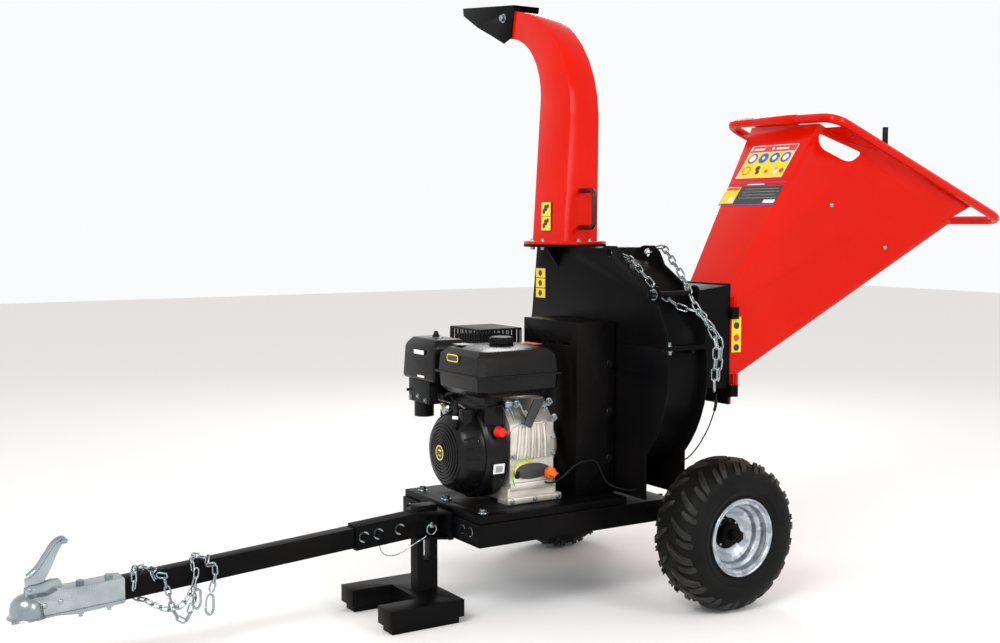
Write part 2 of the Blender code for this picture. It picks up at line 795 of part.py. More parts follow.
# ---------------------------------------------------------------- belt drive
def make_drive():
    y, z = CRANK
    shaft = turned(
        "crankshaft",
        [
            (0, -0.205),
            (0.0140, -0.205),
            (0.0140, -0.560),
            (0.050, -0.560),
            (0.050, -0.575),
            (0, -0.575),
        ][::-1],
        (0, y, z),
        (1, 0, 0),
        STEEL,
        20,
    )
    pivot(shaft, (0, y, z))
    pulley("drive_pulley", (y, z), DRIVE_PULLEY_R, 0.0143)
    pulley("driven_pulley", ROTOR, DRIVEN_PULLEY_R, 0.0203)

    (y1, z1), (y2, z2) = CRANK, ROTOR
    r1, r2 = DRIVE_PULLEY_R + 0.002, DRIVEN_PULLEY_R + 0.002
    span = hypot(y2 - y1, z2 - z1)
    heading = atan2(z2 - z1, y2 - y1)
    lean = atan2(sqrt(span**2 - (r2 - r1) ** 2), r2 - r1)

    def loop(grow):
        lower = [
            (y1 + (r1 + grow) * cos(a), z1 + (r1 + grow) * sin(a))
            for a in [heading + (pi - lean) + i * (2 * lean) / 12 for i in range(13)]
        ]
        upper = [
            (y2 + (r2 + grow) * cos(a), z2 + (r2 + grow) * sin(a))
            for a in [heading - (pi - lean) + i * (2 * (pi - lean)) / 16 for i in range(17)]
        ]
        return lower + upper

    plate("drive_belt", [loop(0.008), loop(0.0)], (-0.262, -0.228), "X", RUBBER)

    guard_low, guard_high = (-0.305, -0.135, 0.288), (-0.1765, 0.130, 0.765)
    guard = hollow_box("belt_guard", guard_low, guard_high, 0.003, "+x", BLACK)
    hole = rod("guard_hole", (-0.32, y, z), (-0.29, y, z), 0.030, BLACK, 20)
    slots = [
        box(f"guard_vent_{i}", (-0.32, yy, zz), (-0.29, yy + 0.035, zz + 0.008), BLACK)
        for i, (yy, zz) in enumerate(((-0.10, 0.70), (-0.03, 0.70), (0.04, 0.70)))
    ]
    cut(guard, hole, *slots)
    bolts = [
        bolt(f"guard_bolt_{i}", (-0.193, -0.135, zz), (0, -1, 0), 0.020)
        for i, zz in enumerate((0.648, 0.515, 0.385))
    ]
    unite(guard, *bolts)


def pulley(name, centre, radius, bore):
    half = 0.020
    made = turned(
        name,
        [
            (radius + 0.001, half),
            (radius + 0.001, half - 0.001),
            (radius, half - 0.002),
            (radius, -half + 0.002),
            (radius + 0.001, -half + 0.001),
            (radius + 0.001, -half),
            (bore, -half),
            (bore, half),
        ],
        (-0.245, *centre),
        (1, 0, 0),
        STEEL,
        32,
    )
    return pivot(made, (-0.245, *centre))


# ---------------------------------------------------------------- rotor and housing
def make_rotor():
    y, z = ROTOR
    shaft = rod("rotor_shaft", (-0.270, y, z), (0.012, y, z), 0.020, STEEL, 24)
    pivot(shaft, (0, y, z))
    disc = turned(
        "rotor_disc",
        [
            (ROTOR_R, -0.094),
            (ROTOR_R, -0.114),
            (0.060, -0.114),
            (0.060, -0.130),
            (0.0203, -0.130),
            (0.0203, -0.080),
            (0.060, -0.080),
            (0.060, -0.094),
        ],
        (0, y, z),
        (1, 0, 0),
        STEEL,
        40,
    )
    pivot(disc, (0, y, z))
    for i in range(2):
        angle = radians(20 + 180 * i)
        knife = box(f"chipper_knife_{i + 1}", (-0.0937, -0.022, 0.085), (-0.0857, 0.022, 0.255), ZINC)
        knife.data.transform(Matrix.Translation((0, y, z)) @ Matrix.Rotation(angle, 4, "X"))
        pivot(knife, (0, y, z))
    for name, x in (("front_bearing", HOUSING_X[0] - 0.0003), ("rear_bearing", HOUSING_X[1] + 0.0253)):
        turned(
            name,
            [(0.034, 0), (0.040, -0.014), (0.040, -0.0247), (0.0203, -0.0247), (0.0203, 0)],
            (x, y, z),
            (1, 0, 0),
            CAST,
            24,
        )


def circle_y(z, radius, sign):
    """The y of the circle about the housing's centre at a height."""
    return HOUSING_C[0] + sign * sqrt(radius**2 - (z - HOUSING_C[1]) ** 2)


def angle_at(z, radius, sign):
    y = circle_y(z, radius, sign)
    return atan2(z - HOUSING_C[1], y - HOUSING_C[0]) * 180 / pi


def lower_outline(radius, foot):
    """The lower half's outline in (y, z): round sides that come down to straight legs."""
    leg_z = 0.410
    near = arc(
        HOUSING_C, radius, angle_at(SPLIT_Z - GAP, radius, -1), 360 + angle_at(leg_z, radius, -1), 9
    )
    far = arc(HOUSING_C, radius, angle_at(leg_z, radius, 1), angle_at(SPLIT_Z - GAP, radius, 1), 9)
    return near + [(near[-1][0], foot), (far[0][0], foot)] + far


def upper_outline(radius):
    """The upper half's outline: round on the near side, straight up to the chute on the far side."""
    far_y = circle_y(0.760, radius, 1)
    far = arc(HOUSING_C, radius, angle_at(SPLIT_Z + GAP, radius, 1), angle_at(0.760, radius, 1), 3)
    ear = [(-0.082, 0.972), (-0.125, 0.972), (-0.150, 0.955), (-0.172, 0.920)]
    shoulder = [(-0.240, 0.880), (-0.313, 0.815), (-0.351, 0.745)]
    near = [(circle_y(SPLIT_Z + GAP, radius, -1), SPLIT_Z + GAP)]
    return far + [(far_y - 0.028, NECK_TOP), (-0.060, NECK_TOP)] + ear + shoulder + near


def make_housing():
    x0, x1 = HOUSING_X
    inner_x = (x0 + PLATE_T, x1 - PLATE_T)
    foot = TRAY_TOP + GAP
    plate("housing_lower", [lower_outline(HOUSING_R, foot)], (x0, x1), "X", BLACK)
    lower = bpy.data.objects["housing_lower"]
    cavity = rod("lower_cavity", (inner_x[0], *HOUSING_C), (inner_x[1], *HOUSING_C), BAND_R - 0.005, BLACK, 40)
    trims = []
    for side, sign in (("near", -1), ("far", 1)):
        outer = sorted((HOUSING_C[0] + sign * 0.05, HOUSING_C[0] + sign * 0.50))
        trim = box(
            f"lower_recess_{side}",
            (inner_x[0], outer[0], 0.20),
            (inner_x[1], outer[1], SPLIT_Z - 0.006),
            BLACK,
        )
        keep = rod(f"band_{side}", (x0 - 0.1, *HOUSING_C), (x1 + 0.1, *HOUSING_C), BAND_R, BLACK, 40)
        cut(trim, keep)
        trims.append(trim)
    bore = rod("lower_shaft_bore", (x0 - 0.1, *ROTOR), (x1 + 0.1, *ROTOR), 0.0215, BLACK, 20)
    feed = box("lower_feed", (x1 - 0.02, -0.190, 0.585), (x1 + 0.02, -0.072, 0.80), BLACK)
    cut(lower, cavity, *trims, bore, feed)
    flange_bolts = [
        bolt(f"split_bolt_low_{i}", (x, -0.335, SPLIT_Z - 0.006), (0, 0, -1), 0.018)
        for i, x in enumerate((-0.140, -0.070))
    ]
    unite(lower, *flange_bolts)

    upper = plate("housing_upper", [upper_outline(HOUSING_R)], (x0, x1), "X", BLACK)
    upper_cavity = rod("upper_cavity", (inner_x[0], *HOUSING_C), (inner_x[1], *HOUSING_C), BAND_R - 0.005, BLACK, 40)
    throat = box("neck_throat", (inner_x[0], 0.070, 0.70), (inner_x[1], 0.268, NECK_TOP + 0.05), BLACK)
    outside = plate(
        "upper_recess",
        [
            [(-0.45, SPLIT_Z + 0.006), (-0.02, SPLIT_Z + 0.006), (-0.02, 1.05), (-0.45, 1.05)],
        ],
        inner_x,
        "X",
        BLACK,
    )
    keep = rod("upper_band", (x0 - 0.1, *HOUSING_C), (x1 + 0.1, *HOUSING_C), BAND_R, BLACK, 40)
    neck_keep = box("neck_keep", (x0 - 0.1, -0.055, 0.70), (x1 + 0.1, 0.3, 1.1), BLACK)
    cut(outside, keep, neck_keep)
    feed_top = box("upper_feed", (x1 - 0.02, -0.190, 0.60), (x1 + 0.02, -0.072, 0.825), BLACK)
    lift_hole = rod("lift_hole", (x0 - 0.1, -0.098, 0.952), (x1 + 0.1, -0.098, 0.952), 0.011, BLACK, 16)
    bar_bore = rod("tie_bar_bore", (x0 - 0.1, -0.300, 0.846), (x1 + 0.1, -0.300, 0.846), 0.0085, BLACK, 16)
    lugs = [
        rod(f"tie_lug_{i}", (x, -0.300, 0.846), (x + PLATE_T, -0.300, 0.846), 0.022, BLACK, 20)
        for i, x in enumerate((x0, x1 - PLATE_T))
    ]
    flange = turned(
        "neck_flange",
        [(RING_R, 0.0078), (RING_R, 0.0), (0.06, 0.0), (0.06, 0.0078)],
        (*CHUTE_AXIS, NECK_TOP - 0.001),
        (0, 0, 1),
        BLACK,
        36,
    )
    unite(upper, *lugs, flange)
    ring_throat = box("ring_throat", (-0.164, 0.104, 0.955), (-0.078, 0.252, 1.1), BLACK)
    cut(upper, upper_cavity, throat, outside, feed_top, lift_hole, bar_bore, ring_throat)

    bar = rod("tie_bar", (x0 - 0.004, -0.300, 0.846), (x1 + 0.006, -0.300, 0.846), 0.008, BLACK, 16)
    head = bolt("tie_bar_head", (x0 - 0.004, -0.300, 0.846), (-1, 0, 0), 0.024)
    unite(bar, head)

    box("anvil", (x1 - PLATE_T - 0.0480, -0.188, 0.5700), (x1 - PLATE_T - GAP, -0.074, 0.5845), STEEL)


def make_infeed():
    """Black throat between the housing's rear plate and the hopper flange."""
    x0, x1 = HOUSING_X[1] + GAP, FLANGE_X

    def ring(x, y0, y1, z0, z1):
        return [(x, y0, z0), (x, y1, z0), (x, y1, z1), (x, y0, z1)]

    outer = loft(
        "infeed_throat",
        [ring(x0, -0.200, -0.068, 0.580, 0.836), ring(x1, -0.197, 0.002, 0.560, 0.858)],
        BLACK,
    )
    inner = loft(
        "throat_inside",
        [
            ring(x0 - 0.02, -0.189, -0.074, 0.586, 0.824),
            ring(x1 + 0.02, -0.191, -0.012, 0.590, 0.850),
        ],
        BLACK,
    )
    flange = box("infeed_flange", (x1 - 0.006, -0.198, 0.514), (x1, 0.030, 0.862), BLACK)
    knuckles = [
        rod(f"fixed_knuckle_{i}", (*HINGE, z), (*HINGE, z + KNUCKLE_H), KNUCKLE_R, BLACK, 16)
        for i, z in enumerate(KNUCKLE_Z)
    ]
    leaves = [
        box(
            f"fixed_leaf_{i}",
            (x1 - 0.005, HINGE[1] - 0.004, z),
            (HINGE[0], HINGE[1] + 0.004, z + KNUCKLE_H),
            BLACK,
        )
        for i, z in enumerate(KNUCKLE_Z)
    ]
    arms = [
        box(f"leaf_arm_{i}", (x1 - 0.006, HINGE[1] - 0.004, z), (x1, -0.190, z + KNUCKLE_H), BLACK)
        for i, z in enumerate(KNUCKLE_Z)
    ]
    pins = [
        rod(f"hinge_pin_{i}", (*HINGE, z + 0.01), (*HINGE, z + 2 * KNUCKLE_H - 0.004), PIN_R, BLACK, 16)
        for i, z in enumerate(KNUCKLE_Z)
    ]
    unite(outer, flange, *arms, *leaves, *knuckles, *pins)
    cut(outer, inner)


# ---------------------------------------------------------------- hopper
RIM_NEAR_Y, RIM_FAR_Y = -0.275, 0.192
RIM_TOP = (0.513, 1.3425)  # x, z of the mouth's top bar at its near end
RIM_TOP_RISE = 0.010  # how much higher the top bar's far end stands
RIM_LOW = (1.278, 1.043)  # x, z of the mouth's bottom bar
RIM_BAR_R = 0.014
BASE_X = FLANGE_X + GAP
SHEET = 0.003
CURTAIN_ROD = (0.575, 1.087)  # x, z
ROD_Y = 0.190  # upright rod beside the mouth


def hull(name, points, finish):
    """The closed convex solid around points."""
    bm = bmesh.new()
    for point in points:
        bm.verts.new(point)
    made = bmesh.ops.convex_hull(bm, input=bm.verts)
    loose = [v for v in bm.verts if not v.link_faces]
    bmesh.ops.delete(bm, geom=loose, context="VERTS")
    return from_bmesh(name, bm, finish)


def wall_offsets(base, mouth):
    """For each corner of a convex funnel, the move that takes its walls outwards by one metre."""
    bm = bmesh.new()
    keys = {bm.verts.new(place): key for key, place in {**base, **mouth}.items()}
    bmesh.ops.convex_hull(bm, input=bm.verts)
    bmesh.ops.recalc_face_normals(bm, faces=bm.faces)
    bm.normal_update()
    moves = {}
    for vert, key in keys.items():
        normals = []
        for face in vert.link_faces:
            rings = {keys[corner] in base for corner in face.verts}
            if len(rings) == 2:
                normals.append(face.normal[:])
        moves[key] = Vector(np.linalg.lstsq(np.array(normals), np.ones(len(normals)), rcond=None)[0])
    bm.free()
    return moves


def funnel(name, base, mouth, edges, finish):
    """A sheet-metal funnel. Each of edges runs from a base corner to a mouth corner."""
    moves = wall_offsets(base, mouth)
    middle = {key: Vector(place) for key, place in {**base, **mouth}.items()}
    outer = {key: place + moves[key] * SHEET / 2 for key, place in middle.items()}
    inner = {key: place - moves[key] * SHEET / 2 for key, place in middle.items()}
    for low, high in edges:
        inner[high] = inner[high] + (inner[high] - inner[low]).normalized() * 0.030
    for low, high in dict(reversed(edges)).items():
        for ring, x in ((outer, middle[low].x), (inner, middle[low].x - 0.004)):
            along = ring[high] - ring[low]
            ring[low] = ring[low] + along * (x - ring[low].x) / along.x
    shell = hull(name, outer.values(), finish)
    cut(shell, hull(name + "_inside", inner.values(), finish))
    return shell


def lip(name, inner, outer, finish):
    """A strip of sheet metal between two edges with as many corners."""
    bm = bmesh.new()
    rings = []
    for k, (a, b) in enumerate(zip(inner, outer)):
        along = inner[min(k + 1, len(inner) - 1)] - inner[max(k - 1, 0)]
        way = (b - a).cross(along).normalized() * SHEET / 2
        rings.append([bm.verts.new(place) for place in (a - way, b - way, b + way, a + way)])
    for low, high in zip(rings, rings[1:]):
        for k in range(4):
            n = (k + 1) % 4
            if k % 3:
                k, n = n, k
            bm.faces.new((low[k], low[n], high[n]))
            bm.faces.new((low[k], high[n], high[k]))
    bm.faces.new(rings[0])
    bm.faces.new(rings[-1])
    return from_bmesh(name, bm, finish)


def rounded_loop(corners, radius, count):
    """A closed path through corners, each turned on an arc-like curve."""
    corners = [Vector(corner) for corner in corners]
    path = []
    for before, corner, after in zip(corners[-1:] + corners[:-1], corners, corners[1:] + corners[:1]):
        start = corner + (before - corner).normalized() * radius
        end = corner + (after - corner).normalized() * radius
        for i in range(count):
            t = i / (count - 1)
            path.append(start * (1 - t) ** 2 + corner * 2 * t * (1 - t) + end * t**2)
    return path


def make_hopper():
    x = BASE_X + 0.002
    base = {
        "near_top": (x, -0.195, 0.856),
        "near_low": (x, -0.195, 0.588),
        "far_top": (x, -0.018, 0.856),
        "far_low": (x, -0.018, 0.588),
    }
    mouth = {
        "crest_near": (0.534, -0.190, 1.331),
        "crest_far": (0.534, 0.0975, 1.331),
        "side_near": (0.700, -0.220, 1.251),
        "side_far": (0.700, 0.140, 1.251),
        "lip_near": (1.070, -0.238, 1.036),
        "lip_far": (1.120, 0.150, 1.0615),
    }
    edges = [
        ("near_top", "crest_near"),
        ("near_top", "side_near"),
        ("near_low", "lip_near"),
        ("far_top", "crest_far"),
        ("far_top", "side_far"),
        ("far_low", "lip_far"),
    ]
    shell = funnel("hopper", base, mouth, edges, RED)
    lips = []
    for side, rim_y, way in (("near", RIM_NEAR_Y, 1), ("far", RIM_FAR_Y, -1)):
        crest, bend, low = (Vector(mouth[f"{place}_{side}"]) for place in ("crest", "side", "lip"))
        back = (Vector(base["near_top"]) - bend).normalized() * 0.008
        inner, outer = [], []
        for share in (0.12, 0.55, 1.0):
            inner.append(crest.lerp(bend, share) + back)
        for share in (0.35, 0.68, 0.96):
            inner.append(bend.lerp(low, share) + back)
        for x in (0.565, 0.655, 0.750, 0.890, 1.020, 1.150):
            z = RIM_TOP[1] - (x - RIM_TOP[0]) * (RIM_TOP[1] - RIM_LOW[1]) / (RIM_LOW[0] - RIM_TOP[0])
            outer.append(Vector((x, rim_y + way * (RIM_BAR_R + 0.003), z - 0.004)))
        lips.append(lip("hopper_lip_" + side, inner, outer, RED))
    flange = plate(
        "hopper_base_flange",
        [
            [(-0.198, 0.514), (0.030, 0.514), (0.030, 0.862), (-0.198, 0.862)],
            [(-0.191, 0.592), (-0.022, 0.592), (-0.022, 0.852), (-0.191, 0.852)],
        ],
        (BASE_X, BASE_X + 0.006),
        "X",
        RED,
    )
    knuckles = []
    bores = []
    for i, fixed_z in enumerate(KNUCKLE_Z):
        low = fixed_z + KNUCKLE_H + GAP
        high = low + KNUCKLE_H - 0.004
        knuckles.append(rod(f"hopper_knuckle_{i}", (*HINGE, low), (*HINGE, high), KNUCKLE_R, RED, 16))
        leaf_low, leaf_high = (BASE_X + 0.0017, HINGE[1] - 0.0025, low), (HINGE[0], -0.193, high)
        knuckles.append(box(f"hopper_leaf_{i}", leaf_low, leaf_high, RED))
        bores.append(rod(f"knuckle_bore_{i}", (*HINGE, low - 0.01), (*HINGE, high + 0.01), PIN_R + GAP, RED, 16))
    unite(shell, flange, *lips, *knuckles)
    cut(shell, *bores)
    hang_on(shell, (*HINGE, 0))

    (xt, zt), (xl, zl) = RIM_TOP, RIM_LOW
    corners = [(xt, RIM_NEAR_Y, zt), (xl, RIM_NEAR_Y, zl), (xl, RIM_FAR_Y, zl)]
    corners.append((xt, RIM_FAR_Y, zt + RIM_TOP_RISE))
    rim = tube("hopper_rim", rounded_loop(corners, 0.055, 6), RIM_BAR_R, RED, closed=True, resolution=3)
    post = rod("hopper_rod", (1.2505, ROD_Y, 1.048), (1.2505, ROD_Y, 1.372), 0.007, BLACK, 16)
    unite(rim, post)
    pivot(rim, (*HINGE, 0))

    x, z = CURTAIN_ROD
    bar = rod("curtain_rod", (x, -0.2070, z), (x, 0.0650, z), 0.005, ZINC, 12)
    curtain = box("feed_curtain", (x - 0.002, -0.190, z - 0.250), (x + 0.002, 0.004, z + 0.004), RUBBER)
    unite(curtain, bar)
    pivot(curtain, (x, 0, z))


# ---------------------------------------------------------------- chute
def chute_section(near, far, half):
    x = CHUTE_AXIS[0]
    return [(x - half, *near), (x + half, *near), (x + half, *far), (x - half, *far)]


def chute_rings(inset, overrun):
    """Sections up the gooseneck: a straight tapered duct, then a bend of 80 degrees."""
    base_z, bend_z = NECK_TOP + 0.0075, 1.400
    rings = [chute_section((0.097 + inset, base_z - overrun), (0.262 - inset, base_z - overrun), 0.060 - inset)]
    near_c, near_r = (0.411, bend_z - 0.055), 0.332 - inset
    far_c, far_r = (0.435, bend_z), 0.200 + inset
    for i in range(9):
        a = radians(80 * i / 8)
        near = (near_c[0] - near_r * cos(a), near_c[1] + near_r * sin(a))
        far = (far_c[0] - far_r * cos(a), far_c[1] + far_r * sin(a))
        rings.append(chute_section(near, far, 0.050 - 0.010 * i / 8 - inset))
    rings.append(
        chute_section((0.455 + overrun, 1.694 - inset), (0.462 + overrun, 1.608 + inset), 0.040 - inset)
    )
    return rings


def make_chute():
    duct = loft("chute", chute_rings(0, 0), RED)
    inside = loft("chute_inside", chute_rings(0.003, 0.02), RED)
    ring = turned(
        "chute_ring",
        [(RING_R, 0.0085), (RING_R, 0.0), (0.02, 0.0), (0.02, 0.0085)],
        (*CHUTE_AXIS, NECK_TOP + 0.0071),
        (0, 0, 1),
        RED,
        36,
    )
    unite(duct, ring)
    cut(duct, inside)
    pivot(duct, (*CHUTE_AXIS, NECK_TOP))
    x = CHUTE_AXIS[0]
    handle_x = x - 0.008
    grip = [
        (handle_x, 0.0885, 1.128),
        (handle_x, 0.030, 1.128),
        (handle_x, 0.020, 1.118),
        (handle_x, 0.020, 1.032),
        (handle_x, 0.030, 1.022),
        (handle_x, 0.0915, 1.022),
    ]
    tube("chute_handle", grip, 0.0075, PLASTIC)

    pivot_yz = (0.449, 1.666)
    cheek = [
        (0.388, 1.698),
        (0.408, 1.600),
        (0.448, 1.588),
        (0.512, 1.617),
        (0.606, 1.657),
        (0.696, 1.706),
        (0.699, 1.731),
    ]
    half = 0.0435
    flap = plate("chute_deflector", [cheek], (x - half - 0.003, x + half + 0.003), "X", BLACK)
    inner = plate(
        "deflector_inside",
        [
            [
                (0.37, 1.693),
                (0.37, 1.55),
                (0.75, 1.55),
                (0.75, 1.7335),
            ]
        ],
        (x - half, x + half),
        "X",
        BLACK,
    )
    bolts = [
        bolt(f"deflector_bolt_{i}", (x + sign * (half + 0.003), *pivot_yz), (sign, 0, 0), 0.017)
        for i, sign in enumerate((-1, 1))
    ]
    unite(flap, *bolts)
    cut(flap, inner)
    pivot(flap, (x, *pivot_yz))


# ---------------------------------------------------------------- chains and cables
def make_chains():
    """Chains as plain bars of the links' outer size, where they hang."""
    radius = BAND_R + 0.0060
    for name, start_x, shift in (
        ("lift_chain_front", HOUSING_X[0] + PLATE_T + 0.006, 0.0),
        ("lift_chain_rear", HOUSING_X[1] - PLATE_T - 0.006, 0.0120),
    ):
        path = [(start_x, -0.098, 0.9520)]
        for i, angle in enumerate((107, 118, 129, 140, 151)):
            a = radians(angle)
            x = start_x + (-0.105 + shift - start_x) * i / 4
            path.append((x, HOUSING_C[0] + radius * cos(a), HOUSING_C[1] + radius * sin(a)))
        path += [
            (-0.080 + shift, -0.318, 0.772 + shift),
            (-0.050 + shift, -0.350, 0.764 + shift),
            (-0.022 + shift, -0.358, 0.748 + shift),
            (-0.012 + shift, -0.358, 0.710),
            (-0.010 + shift, -0.358, 0.580),
        ]
        tube(name, path, 0.0038, ZINC, resolution=1)
    cable = [
        (-0.004, -0.358, 0.5755),
        (-0.004, -0.357, 0.548),
        (-0.006, -0.350, 0.520),
        (-0.010, -0.334, 0.480),
        (-0.016, -0.312, 0.440),
        (-0.022, -0.290, 0.410),
        (-0.0265, -0.272, 0.392),
        (-0.0295, -0.262, 0.385),
    ]
    tube("chain_cable", cable, 0.0016, RUBBER, resolution=1)

    near_drop = [(-1.396, -0.0330, 0.170), (-1.388, -0.0345, 0.125), (-1.372, -0.0350, 0.094)]
    tube(
        "safety_chain_near",
        [(-1.486, -0.0255, 0.185), (-1.481, -0.0285, 0.204)]
        + over_bar(-1.470, -1)
        + [(-1.455, 0.0300, 0.190), (-1.440, 0.0300, 0.178), (-1.424, 0.0300, 0.192)]
        + over_bar(-1.410, 1)
        + near_drop,
        0.0038,
        ZINC,
        resolution=1,
    )
    tube(
        "safety_chain_far",
        [(-1.486, 0.0255, 0.160), (-1.470, 0.0380, 0.150), (-1.400, 0.0385, 0.140), (-1.345, 0.0340, 0.180)]
        + over_bar(-1.325, 1)
        + [(-1.312, -0.0320, 0.175), (-1.306, -0.0345, 0.120), (-1.312, -0.0350, 0.086)],
        0.0038,
        ZINC,
        resolution=1,
    )
    cable = [
        (-0.400, -0.1205, 0.338),
        (-0.385, -0.1330, 0.336),
        (-0.355, -0.1380, 0.348),
        (-0.320, -0.1390, 0.372),
        (-0.290, -0.1390, 0.384),
        (-0.255, -0.1390, 0.385),
        (-0.235, -0.1390, 0.372),
        (-0.222, -0.1400, 0.345),
        (-0.208, -0.1430, 0.320),
        (-0.192, -0.1520, 0.308),
        (-0.180, -0.1700, 0.303),
        (-0.175, -0.2000, 0.304),
        (-0.1735, -0.2300, 0.311),
    ]
    tube("engine_cable", cable, 0.0022, RUBBER, resolution=1)


def over_bar(x, come_from):
    """Points over the drawbar's top at x, coming up from the near (-1) or far (1) side."""
    top = drawbar_z(x) + DRAWBAR_H
    half = DRAWBAR_W / 2
    rounded = [(half + 0.0052, -0.008), (half + 0.0048, 0.001), (half + 0.001, 0.0050)]
    rise = [(x - 0.008, come_from * y, top + z) for y, z in rounded]
    fall = [(x + 0.008, -come_from * y, top + z) for y, z in reversed(rounded)]
    return rise + fall


def place_on_ground():
    """Moves everything so that the middle of the machine's footprint is the origin."""
    for obj in bpy.data.objects:
        if obj.parent is None:
            obj.location -= Vector(FOOTPRINT_MIDDLE)


make_axle()
for wheel_side, wheel_sign in (("near", -1), ("far", 1)):
    make_wheel(wheel_side, wheel_sign)
make_frame()
make_engine_tray()
make_drawbar()
make_stand()
make_coupler()
make_engine()
make_engine_controls()
make_muffler()
make_drive()
make_rotor()
make_housing()
make_infeed()
make_hopper()
make_chute()
make_chains()
place_on_ground()
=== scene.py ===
"""Looks of a towable petrol wood chipper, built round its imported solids.

Lengths are metres. Pieces are drawn from the machine's own origin, which is on the floor
midway between the road wheels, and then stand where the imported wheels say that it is.
"""

import json
from math import cos, hypot, pi, radians, sin, sqrt

import bmesh
import bpy
from mathutils import Matrix, Vector

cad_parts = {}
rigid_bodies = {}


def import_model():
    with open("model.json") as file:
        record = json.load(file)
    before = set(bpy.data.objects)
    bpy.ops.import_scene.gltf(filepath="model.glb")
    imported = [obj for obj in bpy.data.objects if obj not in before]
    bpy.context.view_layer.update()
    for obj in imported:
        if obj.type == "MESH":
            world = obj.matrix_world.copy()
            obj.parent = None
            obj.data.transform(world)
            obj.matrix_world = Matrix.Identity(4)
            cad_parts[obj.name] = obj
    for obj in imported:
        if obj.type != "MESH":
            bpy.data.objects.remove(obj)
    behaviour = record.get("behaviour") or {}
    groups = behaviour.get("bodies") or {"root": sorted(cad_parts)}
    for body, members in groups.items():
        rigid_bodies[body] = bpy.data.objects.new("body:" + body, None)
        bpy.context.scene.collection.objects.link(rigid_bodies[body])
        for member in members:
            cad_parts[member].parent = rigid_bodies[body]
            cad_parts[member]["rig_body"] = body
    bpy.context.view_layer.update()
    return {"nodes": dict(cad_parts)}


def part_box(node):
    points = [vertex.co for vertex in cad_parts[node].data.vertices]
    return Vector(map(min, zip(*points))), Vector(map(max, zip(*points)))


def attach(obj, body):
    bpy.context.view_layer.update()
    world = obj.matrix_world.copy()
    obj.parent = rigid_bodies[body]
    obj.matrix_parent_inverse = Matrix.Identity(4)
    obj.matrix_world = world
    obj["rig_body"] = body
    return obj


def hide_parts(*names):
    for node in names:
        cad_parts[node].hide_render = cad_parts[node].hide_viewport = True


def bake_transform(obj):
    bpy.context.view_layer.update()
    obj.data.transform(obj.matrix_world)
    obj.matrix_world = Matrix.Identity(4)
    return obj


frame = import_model()


def middle(node):
    low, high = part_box(node)
    return (low + high) / 2


NEAR_HUB, FAR_HUB = middle("tyre_near"), middle("tyre_far")
ORIGIN = Vector(((NEAR_HUB.x + FAR_HUB.x) / 2, (NEAR_HUB.y + FAR_HUB.y) / 2, 0.0))
WHEEL_Y = (FAR_HUB.y - NEAR_HUB.y) / 2
AXLE_Z = NEAR_HUB.z
UP, DOWN, FRONT, NEAR = (0, 0, 1), (0, 0, -1), (-1, 0, 0), (0, -1, 0)  # FRONT is towards the coupler

# ---------------------------------------------------------------- camera, light, floor
CAMERA_AT = Vector((-2.2812, -2.9323, 1.0374))
CAMERA_TURN = radians(31.748)  # from looking along +Y, towards +X
CAMERA_DIP = radians(4.482)
FOCAL_MM, SENSOR_MM = 45.63, 36.0


def make_camera():
    right = Vector((cos(CAMERA_TURN), -sin(CAMERA_TURN), 0))
    level = Vector((sin(CAMERA_TURN), cos(CAMERA_TURN), 0))
    ahead = level * cos(CAMERA_DIP) - Vector((0, 0, sin(CAMERA_DIP)))
    data = bpy.data.cameras.new("camera")
    data.sensor_width = SENSOR_MM
    data.lens = FOCAL_MM
    data.clip_start = 0.05
    data.clip_end = 60
    camera = bpy.data.objects.new("camera", data)
    bpy.context.scene.collection.objects.link(camera)
    pose = Matrix((right, right.cross(ahead), -ahead)).transposed().to_4x4()
    pose.translation = CAMERA_AT + ORIGIN
    camera.matrix_world = pose
    bpy.context.scene.camera = camera


def area_light(name, place, target, size, power, colour=(1, 1, 1)):
    data = bpy.data.lights.new(name, "AREA")
    data.shape = "RECTANGLE"
    data.size, data.size_y = size
    data.energy = power
    data.color = colour
    lamp = bpy.data.objects.new(name, data)
    bpy.context.scene.collection.objects.link(lamp)
    lamp.location = Vector(place) + ORIGIN
    aim = Vector(target) + ORIGIN - lamp.location
    lamp.rotation_euler = aim.to_track_quat("-Z", "Y").to_euler()


def make_stage():
    floor_mesh = bpy.data.meshes.new("floor")
    reach = 14.0
    bm = bmesh.new()
    bmesh.ops.create_grid(bm, x_segments=1, y_segments=1, size=reach)
    bm.to_mesh(floor_mesh)
    bm.free()
    floor = bpy.data.objects.new("floor", floor_mesh)
    bpy.context.scene.collection.objects.link(floor)
    floor.location = (0, 0, -0.0005)
    floor_mesh.materials.append(flat_material("pale_floor", (0.93, 0.935, 0.95), 0.8))
    make_studio_walls()
    area_light("key", (-3.0, -2.2, 3.2), (-0.2, 0, 0.7), (1.2, 1.2), 60, (1, 0.98, 0.95))
    area_light("front", (-2.9, -1.1, 2.3), (0.4, -0.05, 1.1), (0.9, 0.9), 26)
    area_light("side", (0.6, -3.6, 2.6), (0.2, 0, 0.7), (1.0, 1.6), 38)
    area_light("back", (1.8, 2.8, 2.8), (0, 0, 0.8), (1.6, 1.2), 40)
    bpy.context.scene.view_settings.view_transform = "Standard"


